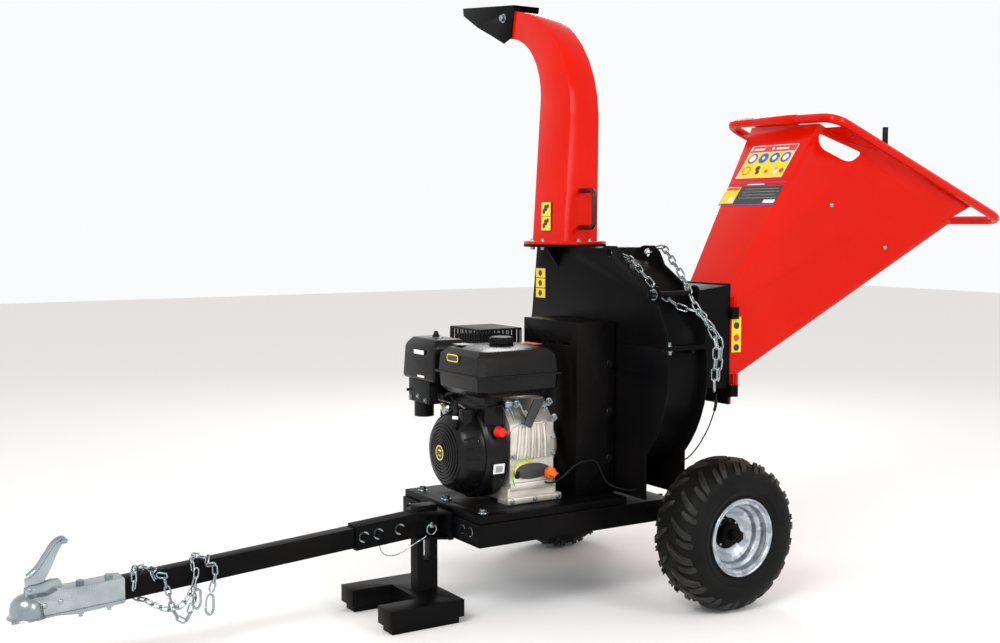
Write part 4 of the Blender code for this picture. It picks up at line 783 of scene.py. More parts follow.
def make_chains():
    front = [
        (-0.159, -0.098, 0.953), (-0.118, -0.101, 0.942), (-0.1232, -0.1437, 0.925),
        (-0.131, -0.1873, 0.9017), (-0.129, -0.2254, 0.8732), (-0.125, -0.245, 0.855),
        (-0.111, -0.261, 0.8365), (-0.0937, -0.271, 0.8255), (-0.0682, -0.285, 0.808),
        (-0.042, -0.306, 0.78), (-0.024, -0.33, 0.752), (-0.013, -0.348, 0.725), (-0.0135, -0.354, 0.69),
        (-0.0115, -0.357, 0.645), (-0.01, -0.358, 0.58),
    ]
    rear = [
        (-0.043, -0.098, 0.953), (-0.02, -0.1283, 0.936), (-0.0337, -0.173, 0.912), (-0.044, -0.213, 0.885),
        (-0.0465, -0.238, 0.864), (-0.051, -0.2665, 0.832), (-0.051, -0.29, 0.801), (-0.04, -0.308, 0.774),
        (-0.018, -0.325, 0.75), (0.001, -0.343, 0.728), (0.0035, -0.352, 0.69), (0.0045, -0.357, 0.645),
        (0.002, -0.358, 0.59),
    ]
    for name, path in (("front", front), ("rear", rear)):
        links = chain_mesh([off_drum(*p) for p in path], *LIFT_LINK, 0.4)
        made = placed("lift_chain_links_" + name, links, ZINC, angle=60)
        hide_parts("lift_chain_" + name)
    near = [(-1.4855, -0.0285, 0.186), (-1.484, -0.03, 0.204)] + over_bar(-1.476, -1)
    near += [(-1.464, 0.031, 0.2), (-1.457, 0.031, 0.196)] + over_bar(-1.446, 1)
    near += [
        (-1.419, -0.036, 0.21), (-1.411, -0.037, 0.1833), (-1.403, -0.037, 0.1541),
        (-1.3976, -0.037, 0.1292), (-1.388, -0.037, 0.1095), (-1.3742, -0.037, 0.0971),
        (-1.3599, -0.037, 0.1028), (-1.353, -0.034, 0.122), (-1.34, -0.022, 0.136), (-1.332, 0.01, 0.152),
        (-1.329, 0.032, 0.175), (-1.325, 0.032, 0.2),
    ]
    near += over_bar(-1.316, 1)
    near += [
        (-1.295, -0.036, 0.218), (-1.2935, -0.037, 0.1897), (-1.3, -0.037, 0.1665),
        (-1.308, -0.037, 0.1435),
    ]
    far = [(-1.486, 0.029, 0.175), (-1.47, 0.025, 0.152), (-1.4518, 0.0, 0.148)]
    far += [
        (-1.4322, -0.02, 0.1374), (-1.4105, -0.036, 0.129), (-1.3874, -0.048, 0.134),
        (-1.3712, -0.048, 0.145), (-1.3565, -0.044, 0.1626), (-1.345, -0.038, 0.1849),
        (-1.338, -0.034, 0.21),
    ]
    far += over_bar(-1.336, -1) + [(-1.322, 0.034, 0.195), (-1.318, 0.035, 0.165), (-1.316, 0.035, 0.14)]
    for name, path in (("near", near), ("far", far)):
        links = chain_mesh(path, *SAFETY_LINK)
        made = placed("safety_chain_links_" + name, links, ZINC, angle=60)
        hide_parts("safety_chain_" + name)
    hook(near[-1], "near")
    hook(far[-1], "far")
    cable = [
        (-0.004, -0.358, 0.5755), (-0.004, -0.357, 0.548), (-0.006, -0.35, 0.52), (-0.01, -0.334, 0.48),
        (-0.016, -0.312, 0.44), (-0.022, -0.29, 0.41), (-0.0265, -0.272, 0.392), (-0.0295, -0.262, 0.385),
    ]
    made = wire("chain_cable_sheath", cable, 0.0019, RUBBER)
    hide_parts("chain_cable")
    plug = [(-0.004, -0.3575, 0.56), (-0.004, -0.3565, 0.545), (-0.0055, -0.353, 0.53)]
    placed("chain_cable_joiner", pipe(smooth_path(plug), 0.0042, 12), PLASTIC)
    cable = [
        (-0.4, -0.1205, 0.338), (-0.385, -0.133, 0.336), (-0.355, -0.138, 0.348), (-0.32, -0.139, 0.372),
        (-0.29, -0.139, 0.384), (-0.255, -0.139, 0.385), (-0.235, -0.139, 0.372), (-0.222, -0.14, 0.345),
        (-0.208, -0.143, 0.32), (-0.192, -0.152, 0.308), (-0.18, -0.17, 0.303), (-0.175, -0.2, 0.304),
        (-0.1735, -0.23, 0.311),
    ]
    made = wire("engine_cable_sheath", cable, 0.0026, RUBBER)
    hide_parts("engine_cable")


def hook(place, name):
    """A snap hook on a chain's end: a bent bar with a sprung gate."""
    x, y, z = place
    shape = [(0, 0), (0.009, -0.006), (0.01, -0.02), (0.009, -0.04), (0.0, -0.05), (-0.009, -0.041)]
    shape += [(-0.009, -0.032)]
    bar = smooth_path([(x + u, y, z + v + 0.006) for u, v in shape])
    gate = [(x - 0.009, y, z - 0.024), (x - 0.0065, y, z - 0.004), (x, y, z + 0.006)]
    placed("hook_bar_" + name, pipe(bar, 0.0032, 10), ZINC, angle=60)
    wire("hook_gate_" + name, gate, 0.0022, ZINC)


# ---------------------------------------------------------------- hopper
BASE_NEAR_TOP = Vector((0.1895, -0.195, 0.856))
BASE_NEAR_LOW = Vector((0.1895, -0.195, 0.588))
CREST_NEAR = Vector((0.534, -0.19, 1.331))
CREST_FAR = Vector((0.534, 0.0975, 1.331))
SIDE_NEAR_TOP = Vector((0.7, -0.22, 1.251))
SIDE_NEAR_LOW = Vector((1.07, -0.238, 1.036))
PANEL_FACE = 0.0015  # half the panels' thickness
SPOT_LIFT = 0.0034  # a printed spot's height over the panel's middle


def face_normal(a, b, c):
    return (Vector(b) - Vector(a)).cross(Vector(c) - Vector(a)).normalized()


def prism(points, normal, reach):
    """A cutter through a face: the outline moved out along the face's normal and in."""
    bm = bmesh.new()
    normal = Vector(normal)
    low = [bm.verts.new(Vector(p) - normal * reach) for p in points]
    high = [bm.verts.new(Vector(p) + normal * reach) for p in points]
    bm.faces.new(low)
    bm.faces.new(high)
    for k in range(len(points)):
        n = (k + 1) % len(points)
        bm.faces.new((low[k], low[n], high[n], high[k]))
    return mesh_from(bm)


def make_hopper():
    gusset = face_normal(BASE_NEAR_TOP, SIDE_NEAR_TOP, CREST_NEAR)
    handhold = [
        (0.5306, -0.1925, 1.302), (0.5285, -0.1954, 1.2731), (0.5414, -0.199, 1.2541),
        (0.6215, -0.213, 1.2202), (0.6477, -0.2164, 1.2208), (0.667, -0.2177, 1.232),
        (0.686, -0.2187, 1.248),
    ]
    cutter = prism(rounded(handhold, 0.016), gusset, 0.02)
    refine("hopper", RED, 0.0012, 2, 25, (cutter,))
    refine("hopper_rim", RED, 0.0008, 2, 40)
    front = face_normal(BASE_NEAR_TOP, CREST_NEAR, CREST_FAR)
    if front.x > 0:
        front.negate()

    slope = (CREST_NEAR - BASE_NEAR_TOP).normalized()
    slope = (slope - Vector((0, 1, 0)) * slope.y).normalized()

    def on_front(y, z):
        return (BASE_NEAR_TOP.x + (z - BASE_NEAR_TOP.z) * slope.x / slope.z, y, z)

    def label(name, y, z, width, height, finish, lift, radius=0.002):
        """A label on the front panel: its lower corner nearer the hinge, its width and its height."""
        corner = on_front(y + width, z)
        sticker(name, corner, (0, -width, 0), slope * height, finish, lift + PANEL_FACE, radius, "hopper")

    def spot(name, y, z, radius, finish, lift=SPOT_LIFT, hole=0.0):
        disc_sticker(name, on_front(y, z), front, radius, finish, lift, hole, "hopper")

    label("warning_label_edge", -0.158, 1.1698, 0.1985, 0.125, WHITE_LABEL, 0.001)
    label("warning_label_top", -0.1555, 1.25, 0.1935, 0.0235, RED_LABEL, 0.0014)
    label("warning_label_field", -0.1555, 1.1718, 0.1935, 0.0935, YELLOW_LABEL, 0.0014)
    for k, (y, width) in enumerate(((-0.022, 0.045), (-0.124, 0.053))):
        label(f"warning_band_bar_{k}", y, 1.256, width, 0.0065, WHITE_LABEL, 0.0018, 0.001)
        spot(f"warning_band_mark_{k}", y + width + 0.013, 1.259, 0.0058, WHITE_LABEL)
    for k, inner in enumerate((0.013, 0.006, 0.0085, 0.0115)):
        y = 0.0097 - 0.0471 * k
        spot(f"label_disc_{k}", y, 1.2305, 0.019, BLUE_LABEL)
        spot(f"label_mark_{k}", y, 1.2305, inner, WHITE_LABEL, 0.0038)
    spot("label_ring", 0.01, 1.193, 0.0165, RED_LABEL, hole=0.0135)
    spots = [
        (-0.037, 1.1985, 0.0095, DARK_LABEL), (-0.043, 1.1865, 0.0075, DARK_LABEL),
        (-0.079, 1.189, 0.0065, RED_LABEL), (-0.117, 1.1965, 0.006, GREY_LABEL),
        (-0.122, 1.186, 0.0075, WHITE_LABEL), (-0.143, 1.19, 0.0085, RED_LABEL),
    ]
    for k, (y, z, radius, finish) in enumerate(spots):
        spot(f"label_spot_{k}", y, z, radius, finish)
    label("rating_plate", -0.189, 1.0905, 0.24, 0.0668, DARK_LABEL, 0.001)
    label("rating_plate_panel", -0.0105, 1.092, 0.0595, 0.063, YELLOW_LABEL, 0.0014)
    label("rating_plate_band", -0.007, 1.133, 0.053, 0.0085, RED_LABEL, 0.0018)
    label("rating_plate_mark", -0.002, 1.096, 0.02, 0.02, WHITE_LABEL, 0.0018)
    label("rating_plate_foot", -0.186, 1.0925, 0.048, 0.012, WHITE_LABEL, 0.0014)
    label("rating_plate_base", -0.189, 1.0868, 0.24, 0.0032, BLUE_LABEL, 0.001, 0.0005)
    label("rating_plate_strip", -0.189, 1.1535, 0.244, 0.0018, BLUE_LABEL, 0.001, 0.0005)
    label("rating_plate_title", -0.103, 1.148, 0.072, 0.0038, WHITE_LABEL, 0.001, 0.001)
    for k in range(4):
        y, width = -0.184 + 0.01 * (k % 2), 0.16 - 0.018 * (k % 2)
        label(f"rating_plate_line_{k}", y, 1.108 + 0.009 * k, width, 0.0013, GREY_LABEL, 0.0014, 0.0005)
    side = face_normal(BASE_NEAR_TOP, BASE_NEAR_LOW, SIDE_NEAR_LOW)
    if side.y > 0:
        side.negate()

    def near_panel(x, z, off=0.0):
        """The point of the near side panel at x, z."""
        a = BASE_NEAR_TOP
        y = a.y - (side.x * (x - a.x) + side.z * (z - a.z)) / side.y
        return Vector((x, y, z)) + side * off

    for k, (x, z) in enumerate(((0.5674, 1.0885), (0.7898, 0.9593))):
        placed(f"hopper_screw_{k}", dome_screw(near_panel(x, z, 0.0016), side, 0.0078), ZINC, "hopper")
    rod = [(1.2505, 0.19, 1.3), (1.2505, 0.19, 1.3715)]
    placed("gate_rod_sleeve", softened(pipe(rod, 0.0098, 20), 0.002), RUBBER, "hopper")
    sticker(
        "hinge_label", (0.1902, -0.1984, 0.664), (0.034, -0.0022, 0), (0, 0, 0.102), YELLOW_LABEL, 0.003,
        body="hopper",
    )
    for k, (z, finish) in enumerate(((0.672, DARK_LABEL), (0.7, RED_LABEL), (0.735, DARK_LABEL))):
        disc_sticker(
            f"hinge_label_mark_{k}", (0.2072, -0.1995, z + 0.006), side, 0.0098, finish, 0.0038,
            body="hopper",
        )
    sleeve = [(0.513, -0.119, 1.3455), (0.513, 0.057, 1.3493)]
    placed("rim_sleeve", softened(pipe(sleeve, 0.0162, 24), 0.0015), RED, "hopper")


def make_curtain():
    refine("feed_curtain", RUBBER, 0.001)


# ---------------------------------------------------------------- chute
def make_chute():
    refine("chute", RED, 0.0012, 2, 22)
    refine("chute_handle", RED_HANDLE, 0.0006, 2, 40)
    refine("chute_deflector", BLACK, 0.001)
    x = -0.1906
    sticker(
        "chute_label_edge", (x, 0.213, 1.0115), (0, -0.052, 0), (0, 0, 0.0855), DARK_LABEL, 0.001,
        body="chute",
    )
    for k, z in enumerate((1.013, 1.055)):
        sticker(
            f"chute_label_{k}", (x, 0.2115, z), (0, -0.049, 0), (0, 0, 0.0405), YELLOW_LABEL, 0.0014, 0.001,
            body="chute",
        )
        for j, (u, v, r) in enumerate(((0.0, 0.004, 0.009), (0.01, -0.006, 0.007), (-0.011, 0.01, 0.0055))):
            place = (x - 0.001, 0.187 + u, z + 0.02 + v)
            disc_sticker(f"chute_label_mark_{k}_{j}", place, FRONT, r, DARK_LABEL, 0.0012, body="chute")


# ---------------------------------------------------------------- engine
CRANK = (0.0, 0.423)  # y, z of the engine's crankshaft


def dome_x(r):
    """How far forward of the axle the starter cover's face is at a radius."""
    profile = ((0.0, 0.6562), (0.018, 0.656), (0.06, 0.652), (0.086, 0.642), (0.1, 0.63), (0.115, 0.596))
    for (r0, h0), (r1, h1) in zip(profile, profile[1:]):
        if r0 <= r <= r1:
            return h0 + (h1 - h0) * (r - r0) / (r1 - r0)
    return profile[-1][1]


def make_starter():
    outer = [(0, 0.6562), (0.0235, dome_x(0.0235))]
    for r in (0.025, 0.0335, 0.042, 0.0505, 0.059, 0.0675, 0.076):
        outer += [(r, dome_x(r)), (r + 0.0004, dome_x(r) - 0.0026)]
        outer += [(r + 0.0034, dome_x(r + 0.0034) - 0.0026), (r + 0.0038, dome_x(r + 0.0038))]
    outer += [(r, dome_x(r)) for r in (0.0835, 0.086, 0.093, 0.098, 0.103, 0.109, 0.1145)]
    outer += [(0.1165, 0.59), (0.1168, 0.582)]
    inner = [(0.112, 0.582), (0.111, 0.596), (0.096, 0.628), (0.082, 0.6375), (0.058, 0.6465), (0, 0.649)]
    cover = lathe(outer + inner, (0, *CRANK), FRONT, 96)
    neck = soft_block((-0.622, -0.07, 0.5), (-0.585, -0.042, 0.545), 0.004, 3)
    made = placed("starter_cover", joined(cover, neck), SHROUD, angle=24)
    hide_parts("recoil_cover")
    bars = []
    for k in range(5):
        a = radians(-42 + 15 * k)
        way = Vector((0, cos(a + pi), sin(a + pi)))
        low = Vector((-0.6315, 0, CRANK[1])) + way * 0.0985
        high = Vector((-0.5975, 0, CRANK[1])) + way * 0.1135
        bars.append(pipe([low, high], 0.003, 8))
    placed("starter_cover_bars", joined(*bars), SHROUD)
    for k, degrees in enumerate((38, 158, 278)):
        a = radians(degrees)
        place = (-0.598, CRANK[0] + 0.1085 * cos(a), CRANK[1] + 0.1085 * sin(a))
        placed(f"starter_screw_{k}", hex_bolt(place, FRONT, 0.007), ZINC)
    centre = (-0.6564, *CRANK)
    disc_sticker("starter_badge", centre, FRONT, 0.0215, DARK_LABEL, 0.0001)
    disc_sticker("starter_badge_ring", centre, FRONT, 0.0205, YELLOW_LABEL, 0.0004, 0.0175)
    for k, z in enumerate((-0.0065, 0.0065)):
        corner = (-0.6567, 0.0095 - abs(z) * 0.3, CRANK[1] + z - 0.0022)
        finish = YELLOW_LABEL if k else GREY_LABEL
        sticker(f"starter_badge_bar_{k}", corner, (0, -0.017, 0), (0, 0, 0.0044), finish, 0.0004, 0.001)
    refine("fan_shroud", SHROUD, 0.002, 3)
    sticker(
        "shroud_label", (-0.5655, -0.1226, 0.3765), (0.034, 0, 0), (0, -0.005, 0.027), WHITE_LABEL, 0.0022,
    )
    sticker(
        "shroud_label_mark", (-0.559, -0.1238, 0.381), (0.021, 0, 0), (0, -0.0034, 0.017), GREY_LABEL,
        0.0028,
    )
    refine("recoil_handle", PLASTIC, 0.002, 3)
    placed(
        "recoil_handle_band", pipe([(-0.6396, -0.0557, 0.5275), (-0.6408, -0.0566, 0.5195)], 0.0079, 20),
        WHITE_LABEL, "recoil_handle",
    )
    placed(
        "recoil_handle_stop",
        softened(pipe([(-0.6355, -0.052, 0.553), (-0.6345, -0.0512, 0.561)], 0.0052, 16), 0.001), PLASTIC,
        "recoil_handle",
    )
    start, end = Vector((-0.612, -0.056, 0.5455)), Vector((-0.6355, -0.052, 0.5575))
    route = smooth_path(
        [start - Vector((-0.01, 0, 0.01)), start, start.lerp(end, 0.5) + Vector((0, 0, 0.004)), end], 8,
    )
    rope_mesh = moved(pipe(route, 0.002, 10), Matrix.Translation(ORIGIN))
    rope_mesh.materials.append(ROPE)
    rope_mesh.shade_smooth()
    rope = bpy.data.objects.new("starter_rope", rope_mesh)
    bpy.context.scene.collection.objects.link(rope)
    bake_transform(rope)


def make_tank():
    refine("fuel_tank", SHROUD, 0.0045, 4, 18)
    cap = [
        (0, 0.0208), (0.012, 0.0208), (0.026, 0.0196), (0.0305, 0.018), (0.0325, 0.015), (0.0325, 0.0015),
    ]
    cap = lathe(cap + [(0.03, 0.0002), (0, 0.0002)], (TANK_CAP_X, TANK_CAP_Y, 0.7129), UP, 48)
    ribs = []
    for k in range(30):
        a = 2 * pi * k / 30
        foot = Vector((TANK_CAP_X + 0.0322 * cos(a), TANK_CAP_Y + 0.0322 * sin(a), 0.715))
        ribs.append(pipe([foot, foot + Vector((0, 0, 0.0125))], 0.0014, 6))
    made = placed("fuel_cap_moulding", joined(cap, *ribs), PLASTIC, "fuel_cap", 30)
    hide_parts("fuel_cap")
    neck = [(0.037, 0.7095), (0.037, 0.7118), (0.0345, 0.7126), (0.024, 0.7126), (0.024, 0.7095)]
    placed("filler_collar", lathe(neck, (TANK_CAP_X, TANK_CAP_Y, 0), UP, 48), SHROUD)
    sticker("tank_badge", (-0.6331, 0.0, 0.669), (0, -0.06, 0), (0, 0, 0.02), YELLOW_LABEL, 0.0006, 0.009)
    sticker(
        "tank_badge_inner", (-0.6331, -0.0035, 0.672), (0, -0.053, 0), (0, 0, 0.014), DARK_LABEL, 0.001,
        0.006,
    )
    sticker("tank_top_label", (-0.425, -0.105, 0.7096), (0.03, 0, 0), (0, 0.075, 0), RED_LABEL, 0.0012)
    sticker("tank_top_label_b", (-0.6, -0.02, 0.7085), (0.04, 0, 0), (0, 0.05, 0), GREY_LABEL, 0.0022)


def make_air_side():
    refine("air_cleaner", SHROUD, 0.006, 4, 20)
    refine("air_cleaner_knob", PLASTIC, 0.0008)
    # Two thin white bars on the cleaner's front face, where its cover looks bright.
    for name, z, y0, y1, height in (("a", 0.673, 0.186, 0.128, 0.0115), ("b", 0.609, 0.166, 0.126, 0.006)):
        sticker(
            f"cleaner_white_bar_{name}", (-0.6332, y0, z), (0, y1 - y0, 0), (0.0006, 0, height), WHITE_LABEL,
            0.0016,
        )
    placed(
        "cleaner_washer",
        lathe([(0.006, 0), (0.019, 0), (0.019, 0.0015), (0.006, 0.003)], (-0.575, 0.165, 0.716)), ZINC,
    )
    refine("intake", PLASTIC, 0.002)
    refine("choke_lever", PLASTIC, 0.0008)
    refine("throttle_lever", ZINC, 0.0006)
    bolts = ((-0.6225, 0.226, 0.545), (-0.6225, 0.137, 0.545), (-0.6225, 0.182, 0.552))
    for k, place in enumerate(bolts):
        placed(f"intake_bolt_{k}", hex_bolt(place, FRONT, 0.009), ZINC)
    placed("carburettor_nut", hex_bolt((-0.539, 0.17, 0.475), DOWN, 0.012), BRASS)
    body = lathe(
        [(0, 0), (0.016, 0), (0.018, 0.004), (0.018, 0.02), (0.013, 0.026), (0, 0.026)],
        (-0.56, 0.105, 0.52), (-1, 0, 0.2),
    )
    placed("governor_housing", body, ZINC)
    placed("idle_screw", stud_nut((-0.587, 0.105, 0.536), (-1, 0, 0.4), 0.01), BRASS)
    placed("fuel_tap", soft_block((-0.6, 0.082, 0.545), (-0.575, 0.118, 0.566), 0.003), PLASTIC)
    cable = [
        (-0.59, 0.06, 0.566), (-0.603, 0.02, 0.56), (-0.606, -0.03, 0.552), (-0.59, -0.075, 0.549),
        (-0.56, -0.105, 0.552),
    ]
    cable += [(-0.53, -0.12, 0.556)]
    wire("throttle_cable", cable, 0.0024, RUBBER)
    hose = [(-0.585, 0.09, 0.556), (-0.6, 0.06, 0.57), (-0.6, 0.03, 0.578), (-0.585, 0.01, 0.5815)]
    wire("fuel_hose", hose, 0.004, RUBBER, 12)
    spring = [
        (-0.607 + 0.002 * cos(k * 0.9), 0.095 - 0.0016 * k, 0.552 + 0.002 * sin(k * 0.9))
        for k in range(44)
    ]
    placed("governor_spring", pipe(spring, 0.0006, 6), ZINC, angle=60)


def make_crankcase():
    refine("crankcase", CAST, 0.003, 3)
    y = CASE_FACE_Y
    cover = rounded(
        [
            (-0.506, 0.405), (-0.366, 0.405), (-0.366, 0.47), (-0.392, 0.503), (-0.47, 0.503),
            (-0.506, 0.486),
        ],
        0.012,
    )
    placed("crankcase_cover", softened(slab([cover], (y - 0.0045, y + 0.003), "Y"), 0.0015), CAST, angle=30)
    ribs = []
    for k, (low, high) in enumerate(
        ((-0.486, -0.476), (-0.462, -0.456), (-0.44, -0.437), (-0.418, -0.419), (-0.396, -0.402))
    ):
        bar = [(low, y - 0.0055, 0.408), ((low + high) / 2, y - 0.0085, 0.45), (high, y - 0.0055, 0.498)]
        ribs.append(pipe(smooth_path(bar), 0.0048, 10))
    placed("crankcase_ribs", joined(*ribs), CAST, angle=50)
    oval = [(-0.437 + 0.056 * cos(a), 0.371 + 0.021 * sin(a)) for a in (2 * pi * k / 32 for k in range(32))]
    placed("sump_window", softened(slab([oval], (y - 0.0062, y + 0.002), "Y"), 0.002), DARK_CAST, angle=30)
    placed(
        "sump_ledge", soft_block((-0.508, -0.1215, 0.322), (-0.366, -0.108, 0.343), 0.003), CAST, angle=30,
    )
    for k, (x, z) in enumerate(
        (
            (-0.497, 0.415), (-0.372, 0.415), (-0.372, 0.458), (-0.398, 0.495), (-0.47, 0.496),
            (-0.372, 0.343),
        )
    ):
        placed(f"cover_bolt_{k}", hex_bolt((x, y - 0.0045, z), NEAR, 0.0095), ZINC)
    for k, x in enumerate((-0.5045, -0.3675)):
        placed(f"base_bolt_{k}", stud_nut((x, -0.11, 0.3015), UP, 0.014), ZINC)
    base = soft_block((-0.5235, -0.1345, 0.2885), (-0.3525, -0.1175, 0.3075), 0.004, 3)
    placed("base_flange", base, CAST, angle=30)
    for k, x in enumerate((-0.512, -0.44, -0.366)):
        placed(f"base_screw_{k}", hex_bolt((x, -0.1345, 0.2985), NEAR, 0.009), ZINC)
    strut = [(-0.437, 0.566), (-0.402, 0.566), (-0.448, 0.488), (-0.47, 0.5)]
    placed(
        "control_plate", softened(slab([rounded(strut, 0.004)], (-0.126, -0.122), "Y"), 0.001), DARK_CAST,
        angle=30,
    )
    for k, (x, z, size) in enumerate(
        ((-0.389, 0.556, 0.014), (-0.402, 0.54, 0.01), (-0.463, 0.532, 0.008), (-0.372, 0.512, 0.013))
    ):
        placed(f"control_bolt_{k}", stud_nut((x, -0.1225, z), NEAR, size), ZINC)
    bracket = soft_block((-0.527, -0.126, 0.549), (-0.503, -0.104, 0.566), 0.003)
    placed("control_bracket", bracket, ZINC, angle=30)
    placed("control_clamp", stud_nut((-0.493, -0.124, 0.557), NEAR, 0.013), ZINC)
    placed("control_lever_eye", stud_nut((-0.522, -0.124, 0.541), NEAR, 0.009), ZINC)
    legs = [[(-0.515, -0.12, 0.552), (-0.505, -0.122, 0.535), (-0.497, -0.12, 0.515)]]
    legs += [[(-0.48, -0.118, 0.56), (-0.47, -0.122, 0.535), (-0.455, -0.12, 0.515)]]
    for k, path in enumerate(legs):
        wire(f"control_rod_{k}", path, 0.0028, ZINC)
    wires = [
        [
            (-0.437, -0.1225, 0.404), (-0.46, -0.129, 0.409), (-0.485, -0.13, 0.403),
            (-0.503, -0.129, 0.388), (-0.507, -0.1275, 0.365), (-0.499, -0.126, 0.34),
        ],
        [
            (-0.44, -0.1225, 0.4), (-0.465, -0.131, 0.399), (-0.488, -0.132, 0.392), (-0.5, -0.131, 0.38),
            (-0.497, -0.129, 0.366),
        ],
    ]
    for k, path in enumerate(wires):
        finish = YELLOW_WIRE if k else GREEN_WIRE
        wire(f"earth_wire_{k}", path, 0.0019, finish, 8)
    placed("wire_connector", soft_block((-0.5, -0.134, 0.358), (-0.488, -0.126, 0.378), 0.002), PLASTIC)
    ring = [
        (0.059, 0), (0.06, 0.003), (0.0585, 0.006), (0.04, 0.01), (0.03, 0.01), (0.02, 0.006), (0.02, 0),
    ]
    placed("output_cover", lathe(ring, (-0.3235, *CRANK), (1, 0, 0), 48), BROWN)


def make_small_controls():
    place = (-0.545, -0.1188, 0.487)
    knob = [
        (0, 0.0235), (0.008, 0.0235), (0.0115, 0.0215), (0.0125, 0.018), (0.0128, 0.008), (0.0148, 0.004),
        (0.0148, 0.0002),
    ]
    knob = lathe(knob + [(0, 0.0002)], place, NEAR, 40)
    wing = soft_block((-0.556, -0.1425, 0.4835), (-0.526, -0.1315, 0.4905), 0.0025, 3)
    made = placed("switch_knob", joined(knob, wing), RED_PLASTIC, "stop_switch", 30)
    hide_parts("stop_switch")
    plate = [(0, 0), (0.0175, 0), (0.0175, 0.0014), (0.0165, 0.002), (0, 0.002)]
    placed("switch_collar", lathe(plate, (-0.545, -0.1175, 0.487), NEAR, 40), PLASTIC)
    place = (-0.385, -0.1183, 0.362)
    cap = [
        (0, 0.0275), (0.007, 0.0275), (0.0095, 0.025), (0.01, 0.017), (0.0155, 0.0145), (0.0158, 0.004),
        (0.0145, 0.0003),
    ]
    cap = lathe(cap + [(0, 0.0003)], place, NEAR, 40)
    wing = soft_block((-0.4005, -0.1445, 0.3595), (-0.3695, -0.1325, 0.3645), 0.0022, 3)
    made = placed("oil_cap_moulding", joined(cap, wing), ORANGE, "oil_filler_cap", 30)
    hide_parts("oil_filler_cap")


def make_silencer():
    refine("muffler", HEAT_BLACK, 0.006, 3)
    low, high = (-0.455, 0.134, 0.665), (-0.309, 0.3, 0.735)
    parts = [soft_block((low[0], low[1], 0.7285), (high[0], high[1], 0.7345), 0.0025, 3)]
    walls = (
        ((low[0], low[1], 0.665), (high[0], low[1] + 0.002, 0.689)),
        ((low[0], high[1] - 0.002, 0.665), (high[0], high[1], 0.689)),
        ((low[0], low[1], 0.665), (low[0] + 0.002, high[1], 0.689)),
        ((high[0] - 0.002, low[1], 0.665), (high[0], high[1], 0.689)),
    )
    parts += [block(a, b) for a, b in walls]
    across, along = 16, 18
    for k in range(across):
        x = low[0] + 0.003 + (high[0] - low[0] - 0.006) * k / (across - 1)
        for y in (low[1] + 0.0015, high[1] - 0.0015):
            parts.append(block((x - 0.0018, y - 0.0012, 0.687), (x + 0.0018, y + 0.0012, 0.73)))
    for k in range(along):
        y = low[1] + 0.003 + (high[1] - low[1] - 0.006) * k / (along - 1)
        for x in (low[0] + 0.0015, high[0] - 0.0015):
            parts.append(block((x - 0.0012, y - 0.0018, 0.687), (x + 0.0012, y + 0.0018, 0.73)))
    made = placed("silencer_cage", joined(*parts), HEAT_BLACK, angle=30)
    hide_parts("muffler_guard")


